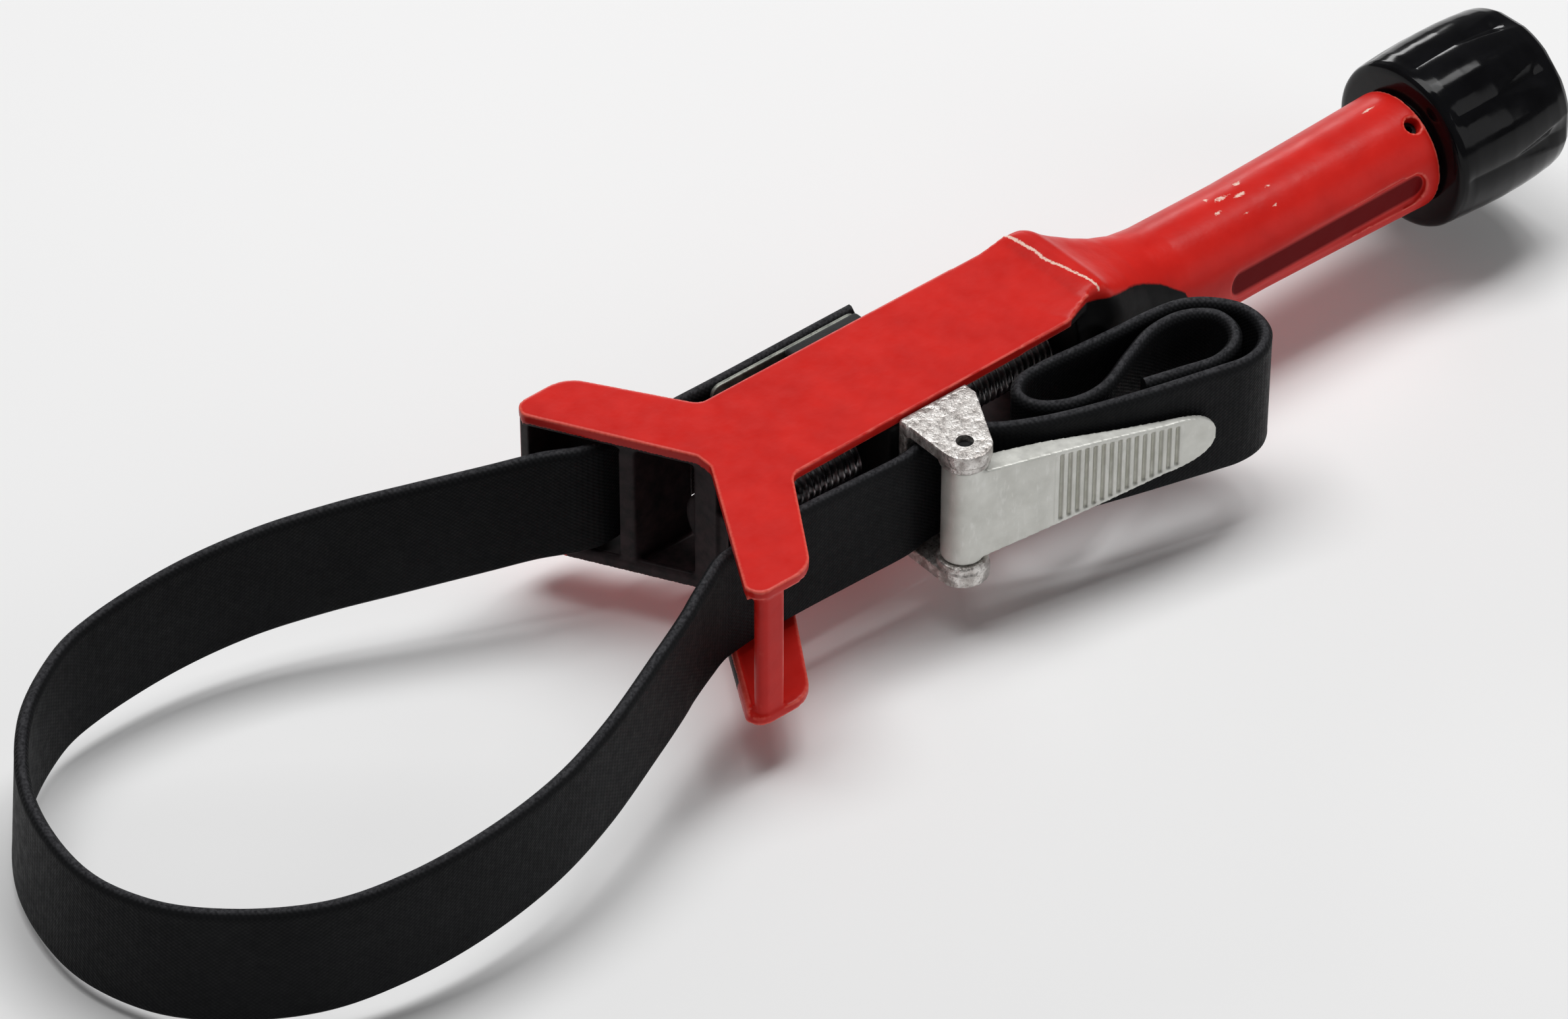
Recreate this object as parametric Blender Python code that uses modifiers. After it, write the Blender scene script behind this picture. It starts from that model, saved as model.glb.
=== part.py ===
"""Strap-type oil filter wrench: a cast frame with two forked plates and a hollow handle, a screw
spindle turned by a knob, a carriage that the screw draws back, and a webbing strap whose loop goes
round the filter and whose end is clamped by a cam lever.

X runs from the fork towards the knob, Y to the side where the strap is anchored, Z up through the
plates. The origin is the middle of the small flat at the bottom of the fork's V, on the spindle's
axis. Sizes are in millimetres and MM turns them into metres."""

import math

import bmesh
import bpy
from mathutils import Matrix, Vector

MM = 0.001
WELD = 0.00001
GAP = 0.3

# Frame casting
TOP_PLATE = (17.5, 20.0)
BOTTOM_PLATE = (-19.0, -16.7)
BODY_HALF = 16.0
PLATE_END = 102.0
ARM_TIP = (-20.6, 38.4)
ARM_END = (-19.2, 42.3)
ARM_BACK = (-5.2, 42.5)
ARM_ROOT = (12.0, 16.0)
RIB_LOW, RIB_HIGH = 15.7, 19.3
POST_X = (-19.2, -11.8)
POST_Y = (38.4, 41.9)
END_WALL_HALF = 1.7
NOTCH_HALF = 2.2
RIB_END = 10.0
WEB_END = 7.0
WALL_Z = (-18.0, 18.2)
CHANNEL_END = 98.0
RAMP_START = 87.0
HANDLE_END = 213.0
HANDLE_BORE = 10.8
HANDLE_BORE_START = 130.0
NECK_BORE = 6.5
PANEL_HALF = 4.5
PANEL_END_R = 4.4
PANEL_FLOOR = 13.0
PANEL_OUTSIDE = 19.0
PANEL_X = (147.5, 208.5)
BUSH_START = 199.5
SET_SCREW_X = 210.3
SET_SCREW_ANGLES = (30.0, 150.0, 270.0)
SET_SCREW_R = 1.8
SET_SCREW_REACH = (7.0, 12.2)

# Spindle and knob
SPINDLE_R = 6.0
SPINDLE_START = 3.1
JOURNAL_R = 4.0
SHOULDER_X = 10.0
BOSS_R = 8.0
BOSS_X = (1.0, 8.0)
FRONT_WASHER_R = 8.4
REAR_WASHER_R = 13.0
RETAINING_RING_R = 8.6
GROOVE_X = (196.4, 198.4)
GROOVE_R = 4.9
SQUARE_DRIVE = 8.4
DRIVE_START = 213.9
DRIVE_END = 236.0
KNOB_SCREW_R = 2.4
KNOB_SCREW_HEAD = (4.2, 5.0)
KNOB_SCREW_DEPTH = 12.0
KNOB_WASHER_R = (2.8, 8.8)
KNOB_RECESS_R = 9.5
KNOB_START = 214.6
KNOB_LOBES = 8
KNOB_RINGS = (
    (214.6, 20.0),
    (215.6, 21.1),
    (218.5, 21.7),
    (224.0, 22.2),
    (230.0, 22.5),
    (236.0, 22.4),
    (241.0, 22.1),
    (245.5, 21.7),
    (249.0, 21.1),
    (250.6, 20.2),
    (251.3, 19.0),
)
KNOB_SCALLOP = (0.4, 1.2)

# Carriage
CARRIAGE_X = (40.5, 62.0)
CARRIAGE_Y = (-16.1, 21.0)
CARRIAGE_Z = (-16.4, 17.2)
NUT_X = (46.5, 56.5)
NUT_HALF = 9.5
ANCHOR_PLATE_X = (20.6, 62.0)
ANCHOR_PLATE_Y = (21.3, 22.8)
ANCHOR_PLATE_HALF = 15.5
ANCHOR_RIVET_X = (45.0, 58.0)
ANCHOR_RIVET_R = 2.0
ANCHOR_RIVET_HEAD = (4.0, 1.3)
ANCHOR_RIVET_TIP = 13.5

# Buckle and lever
WEB_Y = (-19.2, -16.4)
WEB_X = (42.4, 62.5)
EAR_INNER, EAR_OUTER = 15.6, 19.1
EAR_BOSS_Z = (13.7, 16.4)
EAR_BOSS_R = 5.9
EAR_NOSE_R = 6.3
WEB_HALF = 18.4
PIN_X, PIN_Y = 49.0, -31.2
PIN_R = 1.75
PIN_HALF = 17.4
PIN_HOLE_R = 2.05
BRACKET_SCREW_X = 53.0
BRACKET_SCREW_Z = 9.0
BRACKET_SCREW_TIP = 11.5
BRACKET_SCREW_R = 1.9
SCREW_CLEARANCE_R = 2.3
BARREL_R = 5.0
BARREL_HALF = 13.4
LOBE_REACH = 8.1
LOBE_ANGLE = 72.0
ARM_ANGLE = -12.0
ARM_LENGTH = 62.8
ARM_FACE = 4.8
ARM_START = 1.0
ARM_PLATE = 1.8
ARM_WALL = 2.0

# Strap
STRAP_HALF_WIDTH = 15.0
STRAP_HALF_THICK = 1.5
LOOP_TILT = 6.0
LOOP_HINGE_X = -19.4
RUN_START_X = -11.4
ANCHOR_END_X = (13.0, 64.0)
ANCHOR_END_Y = (23.1, 26.8)


def clear_scene():
    for obj in list(bpy.data.objects):
        bpy.data.objects.remove(obj)


def new_collection(name):
    collection = bpy.data.collections.new(name)
    bpy.context.scene.collection.children.link(collection)
    return collection


clear_scene()
PARTS = new_collection("oil_filter_wrench")
CUTTERS = new_collection("cutters")
CUTTERS.hide_render = True


def material(name, colour, roughness, metallic):
    made = bpy.data.materials.new(name)
    made.use_nodes = True
    shader = made.node_tree.nodes["Principled BSDF"]
    shader.inputs["Base Color"].default_value = (*colour, 1.0)
    shader.inputs["Roughness"].default_value = roughness
    shader.inputs["Metallic"].default_value = metallic
    return made


RED = material("red_enamel", (0.55, 0.04, 0.03), 0.35, 0.0)
STEEL = material("steel", (0.55, 0.56, 0.58), 0.3, 1.0)
BRONZE = material("bronze", (0.6, 0.42, 0.2), 0.35, 1.0)
ZINC = material("cast_zinc", (0.62, 0.63, 0.6), 0.45, 1.0)
BLACK = material("black_plastic", (0.015, 0.015, 0.018), 0.15, 0.0)
BLOCK = material("black_casting", (0.02, 0.02, 0.02), 0.6, 0.0)
WEBBING = material("webbing", (0.035, 0.036, 0.038), 0.85, 0.0)


# ---- Outlines ----


def arc_between(centre, start, end, steps):
    """Points of the shorter arc from start to end about the centre."""
    first = math.atan2(start.y - centre.y, start.x - centre.x)
    last = math.atan2(end.y - centre.y, end.x - centre.x)
    sweep = (last - first + math.pi) % (2 * math.pi) - math.pi
    radius = (start - centre).length
    angles = [first + sweep * k / steps for k in range(steps + 1)]
    return [centre + radius * Vector((math.cos(a), math.sin(a))) for a in angles]


def rounded(corners, steps=5):
    """Closed outline through corners given as (x, y, radius)."""
    points = []
    for i, (x, y, radius) in enumerate(corners):
        here = Vector((x, y))
        if radius == 0:
            points.append(here)
            continue
        before = (Vector(corners[i - 1][:2]) - here).normalized()
        after = (Vector(corners[(i + 1) % len(corners)][:2]) - here).normalized()
        half = before.angle(after) / 2
        reach = radius / math.tan(half)
        centre = here + (before + after).normalized() * (radius / math.sin(half))
        points += arc_between(centre, here + before * reach, here + after * reach, steps)
    return points


def mirrored(corners):
    """The corners of the half with y > 0, followed back by those of the half with y < 0."""
    return list(corners) + [(x, -y, radius) for x, y, radius in reversed(corners)]


def smooth(points, per_span=3):
    """Catmull-Rom curve through hand-placed points."""
    knots = [Vector(p) for p in points]
    knots = [2 * knots[0] - knots[1]] + knots + [2 * knots[-1] - knots[-2]]
    route = []
    for a, b, c, d in zip(knots, knots[1:], knots[2:], knots[3:]):
        for k in range(per_span):
            t = k / per_span
            bend = (2 * a - 5 * b + 4 * c - d) * t * t + (3 * b - a - 3 * c + d) * t**3
            route.append((2 * b + (c - a) * t + bend) / 2)
    return route + [knots[-2]]


def ribbon(route, half):
    """Closed outline of a strip of this half thickness along a route."""
    left = []
    right = []
    for i, point in enumerate(route):
        ahead = route[min(i + 1, len(route) - 1)] - route[max(i - 1, 0)]
        normal = Vector((-ahead.y, ahead.x)).normalized() * half
        left.append(point + normal)
        right.append(point - normal)
    return left + right[::-1]


# ---- Solids ----


def as_mesh(obj):
    """A curve object made into a mesh object, its caps welded to its sides."""
    bpy.context.view_layer.update()
    graph = bpy.context.evaluated_depsgraph_get()
    mesh = bpy.data.meshes.new_from_object(obj.evaluated_get(graph))
    shape = bmesh.new()
    shape.from_mesh(mesh)
    bmesh.ops.remove_doubles(shape, verts=shape.verts, dist=WELD)
    bmesh.ops.recalc_face_normals(shape, faces=shape.faces)
    shape.to_mesh(mesh)
    shape.free()
    name = obj.name
    matrix = obj.matrix_world.copy()
    bpy.data.objects.remove(obj)
    made = bpy.data.objects.new(name, mesh)
    PARTS.objects.link(made)
    made.matrix_world = matrix
    return made


def flat_solid(name, outline, low, high):
    """A flat outline in X and Y, given thickness from low to high in Z."""
    curve = bpy.data.curves.new(name, "CURVE")
    curve.dimensions = "2D"
    curve.fill_mode = "BOTH"
    curve.extrude = (high - low) / 2 * MM
    spline = curve.splines.new("POLY")
    spline.points.add(len(outline) - 1)
    for point, (x, y) in zip(spline.points, outline):
        point.co = (x * MM, y * MM, 0, 1)
    spline.use_cyclic_u = True
    obj = bpy.data.objects.new(name, curve)
    PARTS.objects.link(obj)
    obj.location.z = (low + high) / 2 * MM
    return as_mesh(obj)


def from_bmesh(name, shape):
    mesh = bpy.data.meshes.new(name)
    shape.to_mesh(mesh)
    shape.free()
    obj = bpy.data.objects.new(name, mesh)
    PARTS.objects.link(obj)
    return obj


def block(name, x, y, z):
    """A box between two values on each axis."""
    shape = bmesh.new()
    size = [(b - a) * MM for a, b in (x, y, z)]
    centre = [(a + b) / 2 * MM for a, b in (x, y, z)]
    matrix = Matrix.Translation(centre) @ Matrix.Diagonal((*size, 1.0))
    bmesh.ops.create_cube(shape, size=1.0, matrix=matrix)
    return from_bmesh(name, shape)


def rod(name, start, end, radius, sides=24):
    """A cylinder from one point to another."""
    start, end = Vector(start) * MM, Vector(end) * MM
    along = end - start
    turn = along.to_track_quat("Z", "Y").to_matrix().to_4x4()
    shape = bmesh.new()
    bmesh.ops.create_cone(
        shape,
        cap_ends=True,
        segments=sides,
        radius1=radius * MM,
        radius2=radius * MM,
        depth=along.length,
        matrix=Matrix.Translation((start + end) / 2) @ turn,
    )
    return from_bmesh(name, shape)


def turned(name, profile, direction="X", sides=32):
    """A closed profile of (place along the axis, radius), from the high end down its outer side."""
    shape = bmesh.new()
    verts = [shape.verts.new((radius * MM, 0, place * MM)) for place, radius in profile]
    for a, b in zip(verts, verts[1:]):
        shape.edges.new((a, b))
    if profile[0][1] > 0:
        shape.edges.new((verts[-1], verts[0]))
    obj = from_bmesh(name, shape)
    screw = obj.modifiers.new("turn", "SCREW")
    screw.axis = "Z"
    screw.angle = 2 * math.pi
    screw.steps = sides
    screw.render_steps = sides
    screw.use_merge_vertices = True
    screw.merge_threshold = WELD
    if direction == "X":
        obj.rotation_euler = (0, math.pi / 2, 0)
    else:
        obj.rotation_euler = (math.pi / 2, 0, 0)
    return obj


def ring(name, x, inner, outer, sides=32):
    """A washer or bush about the spindle's axis."""
    low, high = x
    return turned(name, [(high, outer), (low, outer), (low, inner), (high, inner)], sides=sides)


def loft(name, rings):
    """Closed solid through rings that have the same number of points."""
    shape = bmesh.new()
    rows = [[shape.verts.new(Vector(p) * MM) for p in points] for points in rings]
    for low, high in zip(rows, rows[1:]):
        for i in range(len(low)):
            j = (i + 1) % len(low)
            shape.faces.new((low[i], low[j], high[j], high[i]))
    shape.faces.new(rows[0][::-1])
    shape.faces.new(rows[-1])
    bmesh.ops.recalc_face_normals(shape, faces=shape.faces)
    return from_bmesh(name, shape)


def hide(obj):
    obj.hide_render = True
    obj.display_type = "WIRE"
    if obj.name in PARTS.objects:
        PARTS.objects.unlink(obj)
        CUTTERS.objects.link(obj)


def boolean(obj, others, operation):
    for other in others:
        modifier = obj.modifiers.new(other.name, "BOOLEAN")
        modifier.operation = operation
        modifier.object = other
        hide(other)
    return obj


def cut(obj, *others):
    return boolean(obj, others, "DIFFERENCE")


def join(obj, *others):
    return boolean(obj, others, "UNION")


def soften(obj, width, segments=2):
    bevel = obj.modifiers.new("rounded_edges", "BEVEL")
    bevel.width = width * MM
    bevel.segments = segments
    bevel.limit_method = "ANGLE"
    bevel.angle_limit = math.radians(50)
    return obj


def finish(obj, surface):
    """The object's material and smooth shading with sharp edges."""
    obj.data.materials.clear()
    obj.data.materials.append(surface)
    obj.data.shade_smooth()
    if obj.data.polygons:
        obj.data.set_sharp_from_angle(angle=math.radians(35))
    return obj


# ---- Frame ----


def plate(name, low, high):
    """Forked plate: two arms with a V between them, and a long straight body."""
    half = (
        (0.0, NOTCH_HALF, 1.0),
        (*ARM_TIP, 2.2),
        (*ARM_END, 3.2),
        (*ARM_BACK, 8.5),
        (*ARM_ROOT, 3.5),
        (PLATE_END, BODY_HALF - 0.3, 0),
    )
    return flat_solid(name, rounded(mirrored(half)), low, high)


def rib(name, side):
    """Wall beside the strap's slot, its front on the line of the V."""
    slope = ARM_TIP[0] / (ARM_TIP[1] - NOTCH_HALF)
    near = slope * (RIB_LOW - NOTCH_HALF) + 0.3
    far = slope * (RIB_HIGH - NOTCH_HALF) + 0.3
    outline = [(near, RIB_LOW), (10.0, RIB_LOW), (10.0, RIB_HIGH), (far, RIB_HIGH)]
    return flat_solid(name, [(x, y * side) for x, y in outline], *WALL_Z)


def near_post():
    """Rounded pillar that joins the plates at the tip of the near arm."""
    low, high = POST_Y
    front, back = POST_X
    corners = ((front, low, 1.4), (back, low, 1.0), (back, high, 1.0), (front, high, 2.0))
    return flat_solid("near_post", [(x, -y) for x, y in rounded(corners, 3)], *WALL_Z)


def far_end_wall():
    """Wall that closes the end of the far arm and follows its rounded back corner."""
    route = (
        (-19.0, 40.0),
        (-13.0, 40.1),
        (-9.6, 40.0),
        (-6.6, 39.2),
        (-4.6, 37.3),
        (-2.8, 34.6),
        (-1.4, 32.3),
    )
    return flat_solid("far_end_wall", ribbon(smooth(route, 2), END_WALL_HALF), *WALL_Z)


def superellipse(x, half_y, half_z, power, points=40):
    """Ring round the axis, from a rounded rectangle (high power) to a circle (power 2)."""
    ring_points = []
    for i in range(points):
        angle = 2 * math.pi * (i + 0.5) / points
        c, s = math.cos(angle), math.sin(angle)
        y = half_y * math.copysign(abs(c) ** (2 / power), c)
        z = half_z * math.copysign(abs(s) ** (2 / power), s)
        ring_points.append((x, y, z))
    return ring_points


def handle_shell():
    """Neck and handle: boxy where it leaves the plates, round and slightly waisted behind."""
    sections = (
        (CHANNEL_END, 15.4, 20.4, 9),
        (101.5, 15.5, 21.6, 8),
        (105.5, 15.6, 22.9, 8),
        (108.0, 15.3, 22.0, 6.5),
        (112.0, 14.8, 19.9, 5),
        (117.0, 14.2, 17.8, 3.6),
        (122.0, 13.8, 16.2, 2.7),
        (128.0, 13.8, 14.8, 2.2),
        (135.0, 14.0, 14.0, 2),
        (161.0, 13.8, 13.8, 2),
        (185.0, 14.4, 14.4, 2),
        (HANDLE_END, 15.1, 15.1, 2),
    )
    return loft("handle_shell", [superellipse(*section) for section in sections])


def ramp(name, side):
    """Wedge on a plate that rises to the ridge where the neck begins."""
    sections = ((RAMP_START, 19.0), (91.0, 19.5), (95.0, 20.4), (100.0, 21.4))
    inner = 18.4
    half = 15.4
    rings = []
    for x, top in sections:
        corners = ((-half, inner), (half, inner), (half, top - 0.6), (half - 0.6, top))
        corners += ((0.6 - half, top), (-half, top - 0.6))
        rings.append([(x, y, side * z) for y, z in corners])
    return loft(name, rings)


def side_panel(name, side):
    """Long shallow recess down one side of the handle, round at both ends."""
    start, end = PANEL_X
    ends = ((start, -PANEL_HALF), (end, -PANEL_HALF), (end, PANEL_HALF), (start, PANEL_HALF))
    outline = rounded([(x, z, PANEL_END_R) for x, z in ends], 6)
    panel = flat_solid(name, outline, PANEL_FLOOR, PANEL_OUTSIDE)
    panel.rotation_euler = (-side * math.pi / 2, 0, 0)
    panel.location = (0, side * (PANEL_FLOOR + PANEL_OUTSIDE) / 2 * MM, 0)
    return panel


def set_screw_direction(angle):
    """Outwards across the handle, the angle measured from +Z towards the near side."""
    turn = math.radians(angle)
    return Vector((0, -math.sin(turn), math.cos(turn)))


def set_screw_holes():
    holes = []
    centre = Vector((SET_SCREW_X, 0, 0))
    for number, angle in enumerate(SET_SCREW_ANGLES, 1):
        outside = centre + set_screw_direction(angle) * 18.0
        holes.append(rod(f"set_screw_hole_{number}", centre, outside, SET_SCREW_R + GAP, 16))
    return holes


def build_frame(holes):
    casting = plate("frame_casting", *TOP_PLATE)
    bottom = plate("bottom_plate", *BOTTOM_PLATE)
    web_half = NOTCH_HALF + 1.8
    web = block("notch_web", (0.0, WEB_END), (-web_half, web_half), WALL_Z)
    boss = rod("front_boss", (BOSS_X[0], 0, 0), (BOSS_X[1], 0, 0), BOSS_R)
    walls = [web, boss, rib("far_rib", 1), rib("near_rib", -1), near_post(), far_end_wall()]
    walls += [handle_shell(), ramp("top_ramp", 1), ramp("bottom_ramp", -1)]
    join(casting, bottom, *walls)
    bore_start = SPINDLE_START - GAP
    cut(
        casting,
        rod("front_bore", (bore_start, 0, 0), (BOSS_X[1] + 1.0, 0, 0), JOURNAL_R + GAP),
        rod("neck_bore", (CHANNEL_END - 1.0, 0, 0), (HANDLE_BORE_START + 1.0, 0, 0), NECK_BORE),
        rod("handle_bore", (HANDLE_BORE_START, 0, 0), (HANDLE_END + 1.0, 0, 0), HANDLE_BORE, 36),
        side_panel("near_panel", -1),
        side_panel("far_panel", 1),
        *holes,
    )
    return finish(casting, RED)


def build_bearing(holes):
    """Bush in the end of the handle, and the three screws that hold it."""
    bush = ring("bearing_bush", (BUSH_START, HANDLE_END - 0.1), SPINDLE_R + GAP, HANDLE_BORE - GAP)
    finish(cut(bush, *holes), BRONZE)
    centre = Vector((SET_SCREW_X, 0, 0))
    for number, angle in enumerate(SET_SCREW_ANGLES, 1):
        inner, outer = [centre + set_screw_direction(angle) * reach for reach in SET_SCREW_REACH]
        finish(rod(f"bush_set_screw_{number}", inner, outer, SET_SCREW_R, 12), STEEL)


# ---- Spindle ----


def build_spindle():
    low, high = GROOVE_X
    profile = [
        (DRIVE_START, 0),
        (DRIVE_START, SPINDLE_R),
        (high, SPINDLE_R),
        (high, GROOVE_R),
        (low, GROOVE_R),
        (low, SPINDLE_R),
        (SHOULDER_X, SPINDLE_R),
        (SHOULDER_X, JOURNAL_R),
        (SPINDLE_START, JOURNAL_R),
        (SPINDLE_START, 0),
    ]
    spindle = turned("spindle", profile)
    half = SQUARE_DRIVE / 2
    drive = block("square_drive", (DRIVE_START - 2.0, DRIVE_END), (-half, half), (-half, half))
    hole_start = DRIVE_END - KNOB_SCREW_DEPTH - 2.0
    hole = rod("screw_hole", (hole_start, 0, 0), (DRIVE_END + 1.0, 0, 0), KNOB_SCREW_R + GAP, 16)
    finish(cut(join(spindle, drive), hole), STEEL)
    washers = (
        ("front_thrust_washer", (BOSS_X[1] + GAP, SHOULDER_X - GAP), JOURNAL_R, FRONT_WASHER_R),
        ("retaining_ring", (low + GAP, high - GAP), GROOVE_R, RETAINING_RING_R),
        ("rear_thrust_washer", (HANDLE_END + GAP, KNOB_START - GAP), SPINDLE_R, REAR_WASHER_R),
    )
    for name, x, shaft, outer in washers:
        finish(ring(name, x, shaft + GAP, outer), STEEL)


def lobed_ring(x, radius, scallop, points=64):
    """Ring of the knob, drawn in between its lobes."""
    ring_points = []
    for i in range(points):
        angle = 2 * math.pi * i / points
        r = radius - scallop * (1 - math.cos(KNOB_LOBES * angle)) / 2
        ring_points.append((x, r * math.cos(angle), r * math.sin(angle)))
    return ring_points


def build_knob():
    span = KNOB_RINGS[-1][0] - KNOB_START
    shallow, deep = KNOB_SCALLOP
    rings = []
    for x, radius in KNOB_RINGS:
        scallop = shallow + (deep - shallow) * (x - KNOB_START) / span
        rings.append(lobed_ring(x, radius, scallop))
    knob = loft("knob", rings)
    half = SQUARE_DRIVE / 2 + GAP
    seat = DRIVE_END + GAP
    cut(
        knob,
        rod("knob_counterbore", (KNOB_START - 1.0, 0, 0), (KNOB_START + 0.6, 0, 0), SPINDLE_R + 0.6),
        block("knob_socket", (KNOB_START - 1.0, seat + 4.0), (-half, half), (-half, half)),
        rod("knob_recess", (seat + 3.0, 0, 0), (260.0, 0, 0), KNOB_RECESS_R),
    )
    finish(knob, BLACK)
    finish(ring("knob_washer", (seat + 3.3, seat + 4.8), *KNOB_WASHER_R), STEEL)
    head = seat + 5.1
    head_radius, head_height = KNOB_SCREW_HEAD
    tip = DRIVE_END - KNOB_SCREW_DEPTH
    profile = [
        (head + head_height, 0),
        (head + head_height, head_radius),
        (head, head_radius),
        (head, KNOB_SCREW_R),
        (tip, KNOB_SCREW_R),
        (tip, 0),
    ]
    finish(turned("knob_screw", profile, sides=20), STEEL)


# ---- Carriage ----


def cross_holes():
    """Cutters for the rivets on the far side and for the screws on the near side."""
    rivet_holes = []
    screw_holes = []
    for number, x in enumerate(ANCHOR_RIVET_X, 1):
        start, end = (x, ANCHOR_RIVET_TIP - 0.5, 0), (x, 30.0, 0)
        rivet_holes.append(rod(f"anchor_hole_{number}", start, end, SCREW_CLEARANCE_R, 16))
    for number, z in enumerate((BRACKET_SCREW_Z, -BRACKET_SCREW_Z), 1):
        start, end = (BRACKET_SCREW_X, -30.0, z), (BRACKET_SCREW_X, 0.5 - BRACKET_SCREW_TIP, z)
        screw_holes.append(rod(f"bracket_hole_{number}", start, end, SCREW_CLEARANCE_R, 16))
    return rivet_holes, screw_holes


def build_carriage(rivet_holes, screw_holes):
    """Block that slides in the channel, and the nut in its pocket that the screw drives."""
    carriage = soften(block("carriage_block", CARRIAGE_X, CARRIAGE_Y, CARRIAGE_Z), 0.8, 1)
    start, end = (CARRIAGE_X[0] - 2.0, 0, 0), (CARRIAGE_X[1] + 2.0, 0, 0)
    bore = rod("carriage_bore", start, end, SPINDLE_R + GAP)
    half = NUT_HALF + GAP
    pocket = block("nut_pocket", (NUT_X[0] - GAP, NUT_X[1] + GAP), (-half, half), (-half, 19.0))
    finish(cut(carriage, bore, pocket, *rivet_holes, *screw_holes), BLOCK)
    nut = soften(block("spindle_nut", NUT_X, (-NUT_HALF, NUT_HALF), (-NUT_HALF, NUT_HALF)), 1.2, 1)
    finish(cut(nut, rod("nut_bore", start, end, SPINDLE_R + GAP)), STEEL)


def anchor_rivet(name, x, head_start):
    """Pin along Y with a flat head on the strap's end."""
    head_radius, head_height = ANCHOR_RIVET_HEAD
    shank = rod(name, (x, ANCHOR_RIVET_TIP, 0), (x, head_start, 0), ANCHOR_RIVET_R, 16)
    head_end = (x, head_start + head_height, 0)
    head = rod(f"{name}_head", (x, head_start - 0.2, 0), head_end, head_radius, 20)
    finish(join(shank, head), STEEL)


def build_anchor(holes):
    """Metal plate and strap end on the far side, held by two rivets."""
    start, end = ANCHOR_PLATE_X
    half = ANCHOR_PLATE_HALF
    corners = ((start, -half, 1.5), (end, -half, 1.5), (end, half, 1.5), (start, half, 1.5))
    metal = flat_solid("anchor_plate", rounded(corners, 3), *ANCHOR_PLATE_Y)
    metal.rotation_euler = (math.pi / 2, 0, 0)
    metal.location = (0, sum(ANCHOR_PLATE_Y) / 2 * MM, 0)
    finish(cut(metal, *holes), ZINC)
    low, high = ANCHOR_END_Y
    start, end = ANCHOR_END_X
    corners = ((start, low, 0), (end, low, 1.4), (end, high, 1.4), (start, high, 0))
    layer = flat_solid("strap_anchor_end", rounded(corners, 4), -STRAP_HALF_WIDTH, STRAP_HALF_WIDTH)
    finish(cut(layer, *holes), WEBBING)
    for number, x in enumerate(ANCHOR_RIVET_X, 1):
        anchor_rivet(f"anchor_rivet_{number}", x, high + GAP)


# ---- Buckle and lever ----


def ear(name, low, high):
    """Buckle ear: straight along the body, round about the lever's pin."""
    pin = Vector((PIN_X, PIN_Y))
    outer = [pin + EAR_NOSE_R * Vector((math.cos(a), math.sin(a))) for a in nose_angles()]
    outline = [(WEB_X[0] + 0.4, WEB_Y[1]), *outer, (WEB_X[1], WEB_Y[0] - 0.6), (WEB_X[1], WEB_Y[1])]
    return flat_solid(name, outline, low, high)


def nose_angles(steps=10):
    """From the ear's front edge round the nose to where its sloping edge leaves it."""
    first, last = math.radians(180), math.radians(318)
    return [first + (last - first) * k / steps for k in range(steps + 1)]


def build_buckle(holes):
    bracket = ear("buckle_bracket", EAR_INNER, EAR_OUTER)
    web = block("buckle_web", WEB_X, WEB_Y, (-WEB_HALF, WEB_HALF))
    bosses = []
    for side, where in ((1, "upper"), (-1, "lower")):
        start, end = [(PIN_X, PIN_Y, side * z) for z in EAR_BOSS_Z]
        bosses.append(rod(f"{where}_boss", start, end, EAR_BOSS_R))
    join(bracket, ear("lower_ear", -EAR_OUTER, -EAR_INNER), web, *bosses)
    pin_hole = rod("pin_hole", (PIN_X, PIN_Y, -24.0), (PIN_X, PIN_Y, 24.0), PIN_HOLE_R, 20)
    sinks = []
    for number, z in enumerate((BRACKET_SCREW_Z, -BRACKET_SCREW_Z), 1):
        sink = turned(f"countersink_{number}", [(19.6, 0), (19.6, 4.4), (17.3, 2.3), (17.3, 0)], "Y", 20)
        sink.location = (BRACKET_SCREW_X * MM, 0, z * MM)
        sinks.append(sink)
    finish(cut(bracket, pin_hole, *holes, *sinks), ZINC)
    finish(rod("lever_pin", (PIN_X, PIN_Y, -PIN_HALF), (PIN_X, PIN_Y, PIN_HALF), PIN_R, 20), STEEL)


def build_bracket_screws():
    """Countersunk screws that hold the buckle's web to the carriage, their heads towards -Y."""
    shank, tip = BRACKET_SCREW_R, BRACKET_SCREW_TIP
    profile = [(18.9, 0), (18.9, 3.5), (17.1, shank), (tip, shank), (tip, 0)]
    for name, z in (("upper", BRACKET_SCREW_Z), ("lower", -BRACKET_SCREW_Z)):
        screw = turned(f"bracket_screw_{name}", profile, "Y", 16)
        screw.location = (BRACKET_SCREW_X * MM, 0, z * MM)
        finish(screw, STEEL)


def arm_half_height(along):
    return 12.7 - 0.118 * along


def arm_side_outline():
    """Lever arm seen along Z: flat grip face on the outer side, flanges dying away to the tip."""
    flanges = ((5.0, 1.0), (20.0, 0.0), (38.0, -2.0), (54.0, -2.6), (ARM_LENGTH, -2.9))
    face = [(ARM_START, -ARM_FACE), (ARM_LENGTH, -ARM_FACE)]
    return face + list(reversed(flanges)) + [(ARM_START, 3.2)]


def arm_front_outline(inset):
    """Lever arm seen from its grip face: tapering, with a round tip."""
    start = ARM_START - 0.4 if inset == 0 else 6.5
    corners = (
        (start, arm_half_height(start) - inset, 0),
        (56.5 - inset, arm_half_height(56.5) - inset, 4.0),
        (ARM_LENGTH - inset, 2.6, 3.0),
    )
    return rounded(mirrored(corners), 4)


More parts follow.
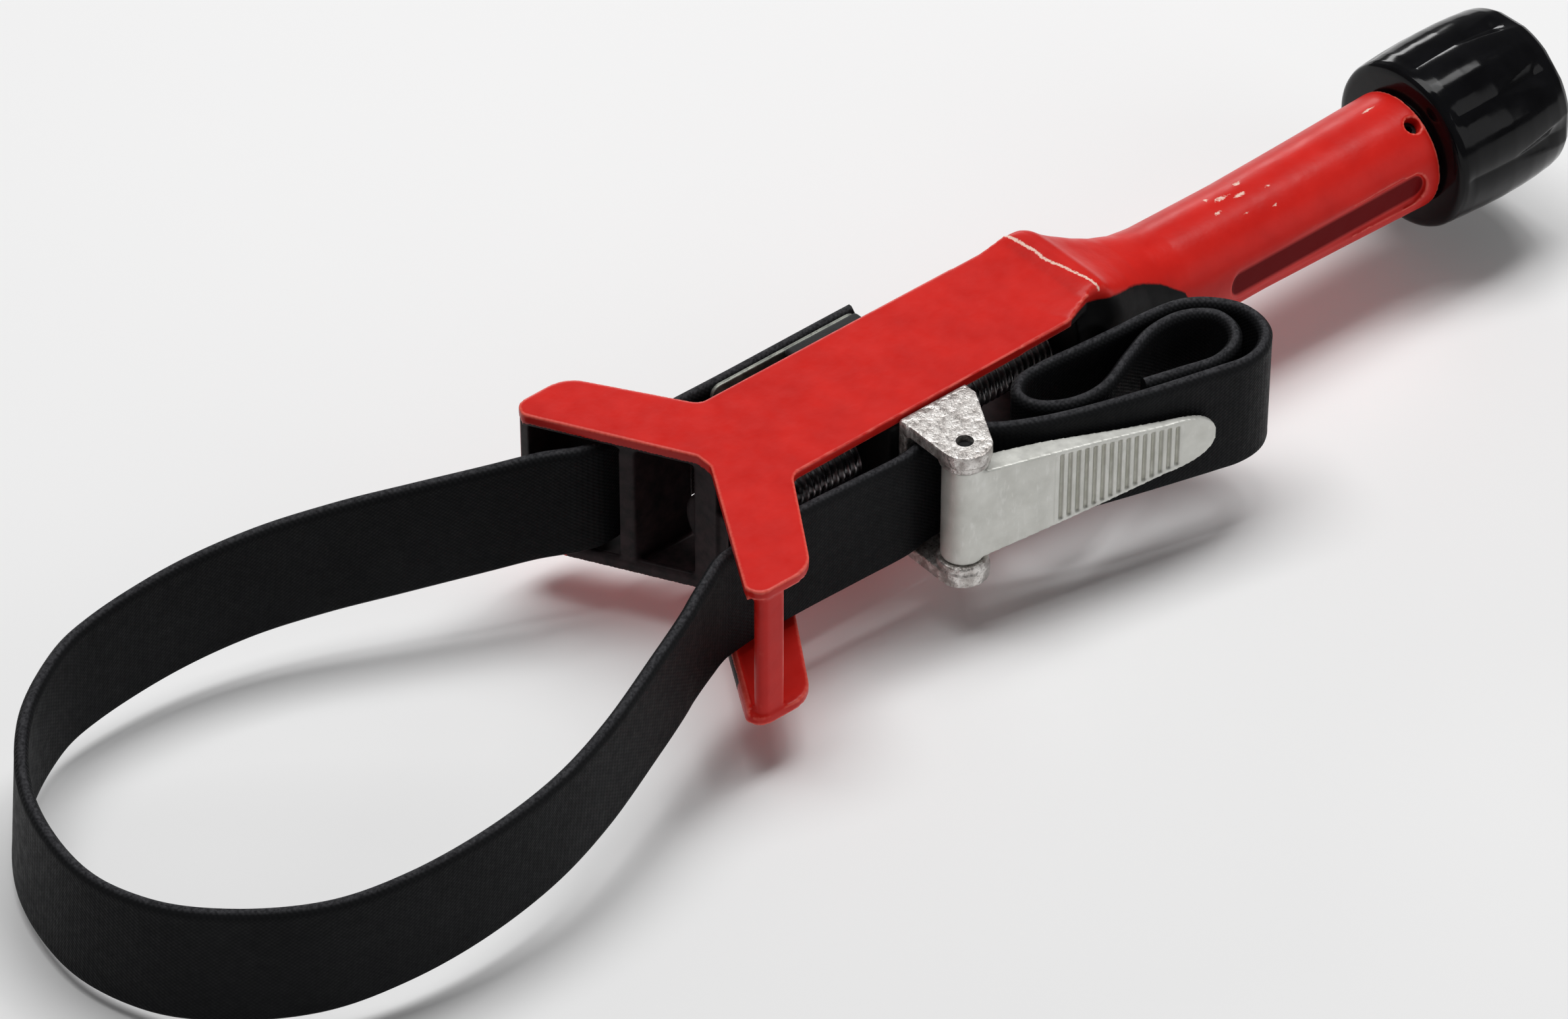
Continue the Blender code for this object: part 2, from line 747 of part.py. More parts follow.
def lever_piece(name, outline, low, high, standing):
    """A flat solid in the lever's own directions, turned and moved to its pin."""
    piece = flat_solid(name, outline, low, high)
    lay = Matrix.Rotation(math.pi / 2, 4, "X") if standing else Matrix.Identity(4)
    turn = Matrix.Rotation(math.radians(ARM_ANGLE), 4, "Z")
    rise = Matrix.Translation((0, 0, (low + high) / 2 * MM))
    piece.matrix_world = Matrix.Translation((PIN_X * MM, PIN_Y * MM, 0)) @ turn @ lay @ rise
    return piece


def lobe_outline():
    """Cam: the barrel with a nose that presses the strap against the buckle's web."""
    nose = math.radians(LOBE_ANGLE - ARM_ANGLE)
    points = []
    for k in range(40):
        angle = 2 * math.pi * k / 40
        lift = max(0.0, math.cos(angle - nose)) ** 6
        radius = BARREL_R + (LOBE_REACH - BARREL_R) * lift
        points.append((radius * math.cos(angle), radius * math.sin(angle)))
    return points


def build_lever():
    lever = lever_piece("cam_lever", lobe_outline(), -BARREL_HALF, BARREL_HALF, False)
    arm = lever_piece("arm_side", arm_side_outline(), -13.0, 13.0, False)
    front = lever_piece("arm_front", arm_front_outline(0.0), -6.0, 6.0, True)
    pocket = lever_piece("arm_pocket", arm_front_outline(ARM_WALL), -8.0, ARM_FACE - ARM_PLATE, True)
    boolean(arm, [front], "INTERSECT")
    cut(arm, pocket)
    join(lever, arm)
    cut(lever, rod("lever_bore", (PIN_X, PIN_Y, -20.0), (PIN_X, PIN_Y, 20.0), PIN_HOLE_R, 20))
    finish(lever, ZINC)


# ---- Strap ----

LOOP_ROUTE = (
    (-5.3, 25.8),
    (-1.0, 28.2),
    (4.0, 30.8),
    (14.5, 35.6),
    (31.0, 43.4),
    (47.0, 50.8),
    (64.5, 57.1),
    (84.0, 60.6),
    (105.0, 60.7),
    (119.0, 57.2),
    (135.0, 46.4),
    (147.7, 27.6),
    (152.3, 4.0),
    (147.6, -15.6),
    (136.6, -30.6),
    (121.0, -42.6),
    (104.0, -48.3),
    (84.4, -50.4),
    (64.0, -49.0),
    (45.0, -44.0),
    (23.7, -35.4),
    (13.0, -30.8),
    (8.0, -28.3),
    (1.0, -25.1),
    (-5.3, -22.4),
)
FAR_ROUTE = ((RUN_START_X, 24.6), (-4.0, 25.0), (4.0, 25.1), (12.7, 25.1))
NEAR_ROUTE = (
    (RUN_START_X, -22.0),
    (-4.0, -21.4),
    (9.0, -21.3),
    (25.0, -21.9),
    (38.0, -22.4),
    (44.0, -21.6),
    (49.0, -21.2),
    (53.0, -21.6),
    (56.5, -23.4),
)
TAIL_ROUTE = (
    (57.1, -23.8),
    (63.0, -28.4),
    (70.0, -32.2),
    (78.0, -35.4),
    (88.0, -38.6),
    (97.0, -41.2),
    (106.0, -43.6),
    (113.0, -45.4),
    (119.5, -46.8),
    (125.5, -45.8),
    (130.4, -41.8),
    (132.4, -36.0),
    (131.4, -30.6),
    (127.4, -25.2),
    (122.0, -21.8),
    (114.0, -20.4),
    (104.0, -19.9),
    (94.0, -19.2),
    (84.0, -18.3),
    (77.0, -18.8),
    (72.9, -22.6),
    (74.4, -28.2),
    (81.0, -32.2),
    (90.0, -32.6),
    (101.0, -28.4),
    (111.0, -25.0),
    (119.5, -25.3),
    (125.6, -29.4),
    (126.2, -35.0),
    (122.4, -40.2),
    (115.0, -42.1),
    (106.0, -40.0),
    (97.0, -37.6),
)


def strap(name, route, per_span):
    outline = ribbon(smooth(route, per_span), STRAP_HALF_THICK)
    return flat_solid(name, outline, -STRAP_HALF_WIDTH, STRAP_HALF_WIDTH)


def build_strap():
    """The loop tilts down towards its far end; the runs inside the frame are level."""
    mirror = [(-u, v) for u, v in LOOP_ROUTE]
    loop = strap("strap_loop", mirror, 3)
    loop.rotation_euler = (0, -math.radians(LOOP_TILT), 0)
    loop.location = (LOOP_HINGE_X * MM, 0, 0)
    finish(loop, WEBBING)
    finish(strap("strap_far_run", FAR_ROUTE, 2), WEBBING)
    finish(strap("strap_near_run", NEAR_ROUTE, 2), WEBBING)
    finish(strap("strap_tail", TAIL_ROUTE, 2), WEBBING)


def main():
    holes = set_screw_holes()
    build_frame(holes)
    build_bearing(holes)
    build_spindle()
    build_knob()
    rivet_holes, screw_holes = cross_holes()
    build_carriage(rivet_holes, screw_holes)
    build_anchor(rivet_holes)
    build_buckle(screw_holes)
    build_bracket_screws()
    build_lever()
    build_strap()


main()
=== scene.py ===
"""The look of the strap-type oil filter wrench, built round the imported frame.

Sizes are in millimetres in the frame's own axes and MM turns them into metres: X towards the knob,
Y to the side where the strap is anchored, Z up, origin on the spindle's axis at the fork's V."""

import math

import bmesh
import bpy
import numpy as np
from mathutils import Matrix, Vector


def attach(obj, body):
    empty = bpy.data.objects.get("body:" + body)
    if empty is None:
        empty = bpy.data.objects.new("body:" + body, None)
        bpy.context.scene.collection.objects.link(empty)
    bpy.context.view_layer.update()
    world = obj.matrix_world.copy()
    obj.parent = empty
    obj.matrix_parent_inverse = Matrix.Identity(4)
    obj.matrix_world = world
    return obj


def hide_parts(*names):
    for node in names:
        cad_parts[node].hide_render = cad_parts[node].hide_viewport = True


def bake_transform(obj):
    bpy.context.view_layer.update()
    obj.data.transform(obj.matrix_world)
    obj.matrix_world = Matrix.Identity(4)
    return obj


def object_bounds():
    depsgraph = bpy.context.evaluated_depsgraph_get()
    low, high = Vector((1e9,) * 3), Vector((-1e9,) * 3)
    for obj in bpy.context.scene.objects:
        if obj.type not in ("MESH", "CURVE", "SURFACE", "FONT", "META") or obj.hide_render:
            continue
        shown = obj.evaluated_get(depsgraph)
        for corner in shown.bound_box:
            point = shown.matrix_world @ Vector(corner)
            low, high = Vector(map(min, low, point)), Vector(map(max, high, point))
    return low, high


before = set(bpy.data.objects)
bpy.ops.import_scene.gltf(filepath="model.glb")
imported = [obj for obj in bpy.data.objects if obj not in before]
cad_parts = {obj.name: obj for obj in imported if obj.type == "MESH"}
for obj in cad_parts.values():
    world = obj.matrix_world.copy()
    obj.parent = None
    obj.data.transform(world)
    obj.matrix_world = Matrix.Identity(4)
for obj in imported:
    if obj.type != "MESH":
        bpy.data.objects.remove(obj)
CAD_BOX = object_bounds()

MM = 0.001

# Casting: plates as (low, high) in Z, fork's arm tip as (X, Y)
TOP_PLATE = (17.5, 20.0)
BOTTOM_PLATE = (-19.0, -16.7)
WALL_Z = (-17.6, 18.4)
NOTCH_HALF = 2.2
ARM_TIP = (-20.6, 38.4)
BOSS_X = (1.0, 8.0)
BOSS_R = 8.0
JOURNAL_BORE_R = 4.4
CHANNEL_END = 98.0
HANDLE_END = 213.0
NECK_BORE_R = 6.5
BUSH_BORE_R = 10.8
SET_SCREW_X = 210.3
SET_SCREW_ANGLES = (30, 150, 270)

# Carriage, buckle and lever
NUT_BORE_R = 6.3
ANCHOR_RIVET_X = (45.0, 58.0)
WEB_X = (42.4, 62.2)
WEB_Y = (-19.2, -16.4)
WEB_SCREW_X = 53.0
WEB_SCREW_Z = (9.0, -9.0)
FASTENER_HOLE_R = 2.3
PIN = (49.0, -31.2)
PIN_HOLE_R = 2.05
ARM_ANGLE = -12.0
ARM_LENGTH = 62.8
ARM_FACE = 4.8
GRIP = (21.0, 53.5)
GRIP_PITCH = 2.15

# Strap
HALF_WIDTH = 15.0
HALF_THICK = 1.55
LOOP_TILT = math.radians(6.0)
LOOP_HINGE_X = -19.4
TILT_EASE = 12.0


# ---- Materials ----


class Shader:
    """A material with a Principled BSDF, and short ways to add nodes to it."""

    def __init__(self, name, roughness, metallic=0.0, **sockets):
        self.material = bpy.data.materials.new(name)
        self.material.use_nodes = True
        self.tree = self.material.node_tree
        self.bsdf = self.tree.nodes["Principled BSDF"]
        self.set(Roughness=roughness, Metallic=metallic, **sockets)
        self.place = self.add("ShaderNodeTexCoord").outputs["Object"]

    def add(self, kind, **inputs):
        """A new node with its named inputs fed."""
        node = self.tree.nodes.new(kind)
        for socket, value in inputs.items():
            self.feed(node.inputs[socket.replace("_", " ")], value)
        return node

    def feed(self, socket, value):
        """Gives a socket a number or colour, or joins another node's output to it."""
        if isinstance(value, bpy.types.NodeSocket):
            self.tree.links.new(value, socket)
        elif socket.type == "RGBA":
            socket.default_value = (*value, 1.0)
        else:
            socket.default_value = value

    def set(self, **inputs):
        """Sets inputs of the Principled BSDF, with _ for the spaces in their names."""
        for name, value in inputs.items():
            self.feed(self.bsdf.inputs[name.replace("_", " ")], value)

    def noise(self, scale, detail=3.0, stretch=None):
        """Noise of this many features a metre, from 0 to 1."""
        vector = self.place
        if stretch:
            vector = self.add("ShaderNodeMapping", Vector=vector, Scale=stretch).outputs[0]
        node = self.add("ShaderNodeTexNoise", Vector=vector, Scale=scale, Detail=detail, Roughness=0.55)
        return node.outputs["Fac"]

    def grade(self, value, low, high, to_low=0.0, to_high=1.0):
        """The value stretched from low..high to to_low..to_high, and held at its ends."""
        node = self.add("ShaderNodeMapRange", Value=value, From_Min=low, From_Max=high)
        node.inputs["To Min"].default_value = to_low
        node.inputs["To Max"].default_value = to_high
        return node.outputs["Result"]

    def math(self, operation, *values):
        """The operation on the values, and on its own result where there are more than two."""
        result, *others = values
        for other in others or [0.0]:
            node = self.tree.nodes.new("ShaderNodeMath")
            node.operation = operation
            self.feed(node.inputs[0], result)
            self.feed(node.inputs[1], other)
            result = node.outputs[0]
        return result

    def mix(self, factor, first, second):
        """The first colour at factor 0 and the second at 1."""
        node = self.tree.nodes.new("ShaderNodeMix")
        node.data_type = "RGBA"
        for index, value in ((0, factor), (6, first), (7, second)):
            self.feed(node.inputs[index], value)
        return node.outputs[2]

    def attribute(self, name):
        node = self.tree.nodes.new("ShaderNodeAttribute")
        node.attribute_name = name
        return node.outputs["Fac"]

    def ragged(self, name, scale, detail, amount):
        """A stored attribute with noise added, so that what it marks has a ragged edge."""
        noise = self.math("MULTIPLY", self.noise(scale, detail), amount)
        return self.math("ADD", self.attribute(name), noise)

    def recess(self):
        """1 on the floor and walls of the handle's side recesses, 0 elsewhere."""
        x, y, z = self.add("ShaderNodeSeparateXYZ", Vector=self.place).outputs
        across = self.math("SQRT", self.math("ADD", self.math("POWER", y, 2.0), self.math("POWER", z, 2.0)))
        below = self.grade(across, 13.55 * MM, 13.30 * MM)
        beyond = self.grade(x, 145.5 * MM, 146.0 * MM)
        before = self.grade(x, 210.0 * MM, 209.8 * MM)
        level = self.grade(self.math("ABSOLUTE", z), 4.9 * MM, 4.7 * MM)
        return self.math("MULTIPLY", below, level, beyond, before)

    def colour(self, value):
        self.set(Base_Color=value)

    def rough(self, value):
        self.set(Roughness=value)

    def bump(self, *layers):
        """Lays on bumps, each a height from 0 to 1 and its depth in millimetres, and gives the material."""
        normal = None
        for height, depth in layers:
            node = self.add("ShaderNodeBump", Height=height, Distance=depth * MM, Strength=1.0)
            if normal:
                self.feed(node.inputs["Normal"], normal)
            normal = node.outputs["Normal"]
        self.set(Normal=normal)
        return self.material


def enamel():
    """Red enamel over a casting: orange peel, mottling, paler on edges where worn thin and painted as an edge
    highlight, chipped, left off the inside, and with painted shade on the neck's flank, the bottom plate's
    front edge and the handle's side recesses.
    """
    s = Shader("enamel_red", 0.36, Coat_Roughness=0.2)
    mottle = s.grade(s.noise(90, 4), 0.3, 0.7)
    body = s.mix(mottle, (0.56, 0.012, 0.008), (0.67, 0.018, 0.012))
    # Paler enamel on sharp edges: partly paint worn thin, partly a painted edge highlight.
    thin = s.grade(s.ragged("edge", 500, 2, 0.4), 0.5, 1.05)
    worn_and_lit_edges = s.mix(thin, body, (0.80, 0.12, 0.09))
    # This mask holds unpainted metal and also painted shade on the neck's flank and the bottom plate's front
    # edge.
    bare_and_shade = s.grade(s.ragged("bare_and_shade", 700, 3, 0.3), 0.45, 0.85)
    raw = s.mix(s.grade(s.noise(350, 4), 0.3, 0.7), (0.010, 0.007, 0.008), (0.036, 0.020, 0.022))
    # Painted shade: the unpainted colour turns nearly black past X 92 to 97, on the neck's flank and in its
    # bore.
    raw = s.mix(s.attribute("neck_shade"), raw, (0.0035, 0.0035, 0.004))
    recess = s.recess()
    # Painted shade: the handle's side recesses get a dark red colour on their floor and walls.
    skin = s.mix(bare_and_shade, s.mix(recess, worn_and_lit_edges, (0.15, 0.003, 0.004)), raw)
    shine = s.grade(recess, 0.0, 1.0, 0.17, 0.03)
    s.set(Specular_IOR_Level=shine, Coat_Weight=s.grade(recess, 0.0, 1.0, 0.04, 0.0))
    chips = s.grade(s.ragged("chip", 1500, 3, 0.6), 0.82, 0.96)
    s.colour(s.mix(chips, skin, (0.88, 0.60, 0.50)))
    s.rough(s.grade(s.math("ADD", s.noise(240, 4), bare_and_shade), 0.25, 1.6, 0.30, 0.62))
    return s.bump((s.noise(130, 3), 0.16), (s.noise(900, 2), 0.02), (chips, -0.05))


def cast_zinc(name, dark, light, grain, depth, roughness):
    """Cast zinc with a mottled, slightly pitted skin."""
    s = Shader(name, roughness, 0.75)
    patches = s.grade(s.noise(grain, 5), 0.34, 0.66)
    pits = s.grade(s.noise(grain * 4.5, 3), 0.3, 0.45)
    s.colour(s.mix(pits, dark, s.mix(patches, dark, light)))
    s.rough(s.grade(s.noise(grain * 2, 4), 0.3, 0.7, roughness - 0.1, roughness + 0.12))
    return s.bump((patches, depth), (s.noise(grain * 6, 2), depth * 0.3))


def lever_zinc():
    """Tumbled zinc of the lever, darker in the grooves of its grip."""
    s = Shader("zinc_dull", 0.46, 0.4)
    tint = s.mix(s.grade(s.noise(150, 5), 0.3, 0.7), (0.62, 0.62, 0.575), (0.76, 0.76, 0.715))
    scuffs = s.grade(s.noise(900, 3, stretch=(1.0, 1.0, 0.3)), 0.56, 0.7)
    worn = s.mix(s.math("MULTIPLY", scuffs, 0.35), tint, (0.88, 0.88, 0.85))
    turn = s.math("MULTIPLY", s.attribute("along_arm"), 2 * math.pi / (GRIP_PITCH * MM))
    groove = s.math("MULTIPLY", s.grade(s.math("COSINE", turn), 0.25, -0.8), s.attribute("grip"))
    # The grooves are coloured darker, in patches.
    groove_darkening = s.math("MULTIPLY", groove, s.grade(s.noise(300, 3), 0.25, 0.6, 0.45, 0.85))
    s.colour(s.mix(groove_darkening, worn, (0.34, 0.335, 0.27)))
    s.rough(s.grade(s.noise(400, 4), 0.3, 0.7, 0.36, 0.56))
    return s.bump((s.noise(260, 4), 0.06), (groove, -0.25))


def turned_steel():
    """Turned and oiled steel, with fine rings round the X axis."""
    s = Shader("steel_turned", 0.3, 1.0)
    rings = s.noise(900, 2, stretch=(1.0, 0.02, 0.02))
    s.colour(s.mix(s.grade(s.noise(160, 4), 0.3, 0.7), (0.30, 0.30, 0.31), (0.58, 0.58, 0.59)))
    s.rough(s.grade(rings, 0.3, 0.7, 0.2, 0.42))
    return s.bump((rings, 0.03))


def blackened_steel():
    """Oiled black oxide on the small fasteners."""
    s = Shader("steel_blackened", 0.42, 0.8)
    s.colour(s.mix(s.grade(s.noise(700, 4), 0.3, 0.7), (0.010, 0.010, 0.011), (0.035, 0.034, 0.034)))
    return s.bump((s.noise(1600, 2), 0.03))


def plate_steel():
    """Zinc-plated pressed steel with light scuffs."""
    s = Shader("steel_plated", 0.3, 1.0)
    scuffs = s.noise(260, 4, stretch=(0.25, 1.0, 1.0))
    s.colour(s.mix(s.grade(scuffs, 0.35, 0.65), (0.50, 0.50, 0.48), (0.72, 0.72, 0.69)))
    s.rough(s.grade(scuffs, 0.3, 0.7, 0.2, 0.45))
    return s.bump((scuffs, 0.03))


def bronze():
    """Sintered bronze with open pores."""
    s = Shader("bronze_sintered", 0.42, 1.0)
    pores = s.grade(s.noise(2200, 2), 0.28, 0.42)
    s.colour(s.mix(pores, (0.16, 0.10, 0.05), (0.50, 0.34, 0.17)))
    return s.bump((pores, 0.04))


def block_black():
    """Matt black casting of the carriage."""
    s = Shader("casting_black", 0.55, Specular_IOR_Level=0.25)
    s.colour(s.mix(s.grade(s.noise(300, 4), 0.3, 0.7), (0.0035, 0.0035, 0.0038), (0.010, 0.010, 0.0105)))
    return s.bump((s.noise(1100, 3), 0.06))


def knob_plastic():
    """Polished black moulding with faint handling marks."""
    s = Shader("plastic_black", 0.11, Specular_IOR_Level=0.16)
    marks = s.noise(420, 5, stretch=(0.3, 1.0, 1.0))
    s.colour(s.mix(s.grade(s.noise(120, 3), 0.3, 0.7), (0.002, 0.002, 0.0025), (0.005, 0.005, 0.006)))
    s.rough(s.grade(marks, 0.35, 0.75, 0.09, 0.2))
    return s.bump((s.noise(110, 2), 0.10), (marks, 0.006))


def webbing():
    """Close-woven dark webbing: ribs across the strap, fine yarns along it, paler frayed selvedges."""
    s = Shader("webbing_dark", 0.68, Specular_IOR_Level=0.08)
    along = s.attribute("along")
    across = s.attribute("across")
    ribs = s.math("SINE", s.math("MULTIPLY", along, 2 * math.pi / (1.25 * MM)))
    yarns = s.math("SINE", s.math("MULTIPLY", across, 2 * math.pi / (1.0 * MM)))
    weave = s.grade(s.math("MULTIPLY", ribs, yarns), -1.0, 1.0)
    edge = s.grade(s.math("ABSOLUTE", across), 14.35 * MM, 14.85 * MM)
    worn = s.grade(s.noise(60, 4), 0.3, 0.7, 0.6, 1.0)
    shade = s.math("MULTIPLY", worn, s.grade(weave, 0.0, 1.0, 0.75, 1.0))
    cloth = s.mix(shade, (0.003, 0.003, 0.0035), (0.0115, 0.012, 0.013))
    fray = s.mix(s.grade(s.noise(1300, 3), 0.35, 0.65), (0.014, 0.014, 0.016), (0.048, 0.048, 0.052))
    s.colour(s.mix(edge, cloth, fray))
    s.rough(s.grade(s.noise(500, 3), 0.3, 0.7, 0.5, 0.68))
    return s.bump((weave, 0.09), (s.grade(ribs, -1.0, 1.0), 0.04), (s.noise(2400, 2), 0.03))


ENAMEL = enamel()
EAR_ZINC = cast_zinc("zinc_bright", (0.34, 0.31, 0.29), (0.86, 0.83, 0.80), 420, 0.22, 0.36)
PLATE_ZINC = cast_zinc("zinc_plate", (0.16, 0.17, 0.15), (0.34, 0.35, 0.31), 260, 0.05, 0.5)
LEVER_ZINC = lever_zinc()
TURNED = turned_steel()
PLATED = plate_steel()
BLACKENED = blackened_steel()
BRONZE = bronze()
BLOCK = block_black()
KNOB = knob_plastic()
WEBBING = webbing()


# ---- Outlines ----


def arc_between(centre, start, end, steps):
    """Points of the shorter arc from start to end about the centre."""
    first = math.atan2(start.y - centre.y, start.x - centre.x)
    last = math.atan2(end.y - centre.y, end.x - centre.x)
    sweep = (last - first + math.pi) % (2 * math.pi) - math.pi
    radius = (start - centre).length
    angles = [first + sweep * k / steps for k in range(steps + 1)]
    return [centre + radius * Vector((math.cos(a), math.sin(a))) for a in angles]


def rounded(corners):
    """Closed outline through corners given as (x, y, radius)."""
    points = []
    for i, (x, y, radius) in enumerate(corners):
        here = Vector((x, y))
        if radius == 0:
            points.append(here)
            continue
        before = (Vector(corners[i - 1][:2]) - here).normalized()
        after = (Vector(corners[(i + 1) % len(corners)][:2]) - here).normalized()
        half = before.angle(after) / 2
        reach = radius / math.tan(half)
        centre = here + (before + after).normalized() * (radius / math.sin(half))
        points += arc_between(centre, here + before * reach, here + after * reach, 10)
    return points


def smooth(points, per_span):
    """Catmull-Rom curve through given points."""
    knots = np.array(points, float)
    knots = np.vstack([2 * knots[0] - knots[1], knots, 2 * knots[-1] - knots[-2]])
    route = []
    for a, b, c, d in zip(knots, knots[1:], knots[2:], knots[3:]):
        for t in np.arange(per_span) / per_span:
            bend = (2 * a - 5 * b + 4 * c - d) * t * t + (3 * b - a - 3 * c + d) * t**3
            route.append((2 * b + (c - a) * t + bend) / 2)
    return np.array(route + [knots[-2]])


def ribbon(route, half):
    """Outline of a band of this half width along a route."""
    route = np.array(route, float)
    ahead = np.gradient(route, axis=0)
    ahead /= np.linalg.norm(ahead, axis=1)[:, None]
    out = np.stack([-ahead[:, 1], ahead[:, 0]], axis=1) * half
    return np.vstack([route + out, (route - out)[::-1]]).tolist()


def around(sides):
    """Angles of evenly spaced points round a circle."""
    return [2 * math.pi * k / sides for k in range(sides)]


def smoothstep(value, low, high):
    """0 up to low and 1 from high, with a soft rise between."""
    t = np.clip((value - low) / (high - low), 0.0, 1.0)
    return t * t * (3 - 2 * t)


# ---- Solids ----


def link(name, mesh):
    obj = bpy.data.objects.new(name, mesh)
    bpy.context.scene.collection.objects.link(obj)
    return obj


def from_bmesh(name, shape):
    bmesh.ops.recalc_face_normals(shape, faces=shape.faces)
    mesh = bpy.data.meshes.new(name)
    shape.to_mesh(mesh)
    shape.free()
    return link(name, mesh)


# Stands a flat outline up: its Y becomes Z, and its thickness runs along Y.
STANDING = Matrix(((1, 0, 0, 0), (0, 0, 1, 0), (0, 1, 0, 0), (0, 0, 0, 1)))


def prism(outline, low, high, matrix=None):
    """A flat outline given thickness from low to high."""
    shape = bmesh.new()
    base = [shape.verts.new((x * MM, y * MM, low * MM)) for x, y in outline]
    bottom = shape.faces.new(base)
    raised = bmesh.ops.extrude_face_region(shape, geom=[bottom])["geom"]
    lift = [v for v in raised if isinstance(v, bmesh.types.BMVert)]
    bmesh.ops.translate(shape, verts=lift, vec=(0, 0, (high - low) * MM))
    obj = from_bmesh("prism", shape)
    if matrix:
        obj.data.transform(matrix)
    return obj


def block(x, y, z):
    """A box from its (low, high) along each axis."""
    return prism([(x[0], y[0]), (x[1], y[0]), (x[1], y[1]), (x[0], y[1])], *z)


def rod(start, end, radius, sides=64, tip_radius=None):
    """A cylinder or cone from one point to another."""
    start, end = Vector(start) * MM, Vector(end) * MM
    along = end - start
    shape = bmesh.new()
    bmesh.ops.create_cone(
        shape,
        cap_ends=True,
        segments=sides,
        radius1=radius * MM,
        radius2=(radius if tip_radius is None else tip_radius) * MM,
        depth=along.length,
        matrix=Matrix.Translation((start + end) / 2) @ along.to_track_quat("Z", "Y").to_matrix().to_4x4(),
    )
    return from_bmesh("rod", shape)


def across_rod(x, y, z, radius, sides=32, tip_radius=None):
    """A rod along Y between (low, high), through this X and Z."""
    return rod((x, y[0], z), (x, y[1], z), radius, sides, tip_radius)


def loft(rings, looped=False):
    """A skin through rings of equally many points, capped at its ends or looped back to the first ring."""
    shape = bmesh.new()
    rows = [[shape.verts.new(Vector(p) * MM) for p in ring] for ring in rings]
    for low, high in zip(rows, rows[1:] + rows[:1] if looped else rows[1:]):
        for i in range(len(low)):
            j = (i + 1) % len(low)
            shape.faces.new((low[i], low[j], high[j], high[i]))
    if not looped:
        shape.faces.new(rows[0][::-1])
        shape.faces.new(rows[-1])
    return from_bmesh("loft", shape)


def turned(profile):
    """A profile of (X, radius) turned about the spindle's axis."""
    return loft([[(x, r * math.cos(a), r * math.sin(a)) for a in around(48)] for x, r in profile])


def turned_across(profile, x, z):
    """A profile of (Y, radius) turned about the line along Y through this X and Z."""
    return loft([[(x + r * math.cos(a), y, z + r * math.sin(a)) for a in around(48)] for y, r in profile])


def collar(x, inner, outer):
    """A ring about the spindle's axis, its edges eased."""
    low, high = x
    ease = min(0.25, (high - low) / 4)
    section = (
        (low, inner + ease), (low, outer - ease), (low + ease, outer), (high - ease, outer),
        (high, outer - ease), (high, inner + ease), (high - ease, inner), (low + ease, inner),
    )
    rings = [[(px, r * math.cos(a), r * math.sin(a)) for px, r in section] for a in around(96)]
    return loft(rings, looped=True)


def evaluated(obj):
    """The object's mesh with its modifiers applied."""
    bpy.context.view_layer.update()
    graph = bpy.context.evaluated_depsgraph_get()
    mesh = bpy.data.meshes.new_from_object(obj.evaluated_get(graph))
    obj.modifiers.clear()
    obj.data = mesh
    return obj


def remove(*objects):
    for obj in objects:
        bpy.data.objects.remove(obj)


def cut(obj, *cutters):
    """The solid with the cutters taken out of it; the cutters are removed."""
    for cutter in cutters:
        modifier = obj.modifiers.new("cut", "BOOLEAN")
        modifier.operation = "DIFFERENCE"
        modifier.object = cutter
    evaluated(obj)
    remove(*cutters)
    return obj


def gathered(pieces):
    """One object that holds the meshes of several, which are removed."""
    shape = bmesh.new()
    for piece in pieces:
        shape.from_mesh(piece.data)
    remove(*pieces)
    mesh = bpy.data.meshes.new("gathered")
    shape.to_mesh(mesh)
    shape.free()
    return link("gathered", mesh)


def cast(pieces, voxel, smoothing, keep=1.0):
    """Overlapping solids fused as a casting: one skin, with eased edges and filled corners."""
    obj = gathered(pieces)
    remesh = obj.modifiers.new("fuse", "REMESH")
    remesh.mode = "VOXEL"
    remesh.voxel_size = voxel * MM
    smooth = obj.modifiers.new("ease", "SMOOTH")
    smooth.factor = 0.5
    smooth.iterations = smoothing
    if keep < 1.0:
        thin = obj.modifiers.new("thin", "DECIMATE")
        thin.ratio = keep
    return evaluated(obj)


def eased(obj, width):
    """The solid with its sharp edges rounded."""
    bevel = obj.modifiers.new("ease", "BEVEL")
    bevel.width = width * MM
    bevel.segments = 3
    bevel.angle_limit = math.radians(40)
    return evaluated(obj)


def coordinates(mesh):
    """The mesh's points in millimetres."""
    points = np.empty(len(mesh.vertices) * 3)
    mesh.vertices.foreach_get("co", points)
    return points.reshape(-1, 3) / MM


def directions(mesh):
    """The way the skin faces at each point."""
    normals = np.empty(len(mesh.vertices) * 3)
    mesh.vertices.foreach_get("normal", normals)
    return normals.reshape(-1, 3)


def store(mesh, name, values):
    """Keeps a number at each point for the material to read."""
    attribute = mesh.attributes.new(name, "FLOAT", "POINT")
    attribute.data.foreach_set("value", np.asarray(values, np.float32))


def place(name, obj, surface, body, slot, *nodes, angle=None):
    """Names a piece, gives it its material, hides the CAD nodes that it stands for and hangs it on the body
    that carries it. The slot is not used.
    """
    obj.name = name
    obj.data.materials.clear()
    obj.data.materials.append(surface)
    obj.data.shade_smooth()
    if angle:
        obj.data.set_sharp_from_angle(angle=math.radians(angle))
    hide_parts(*nodes)
    if body:
        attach(obj, body)


# ---- Frame casting ----


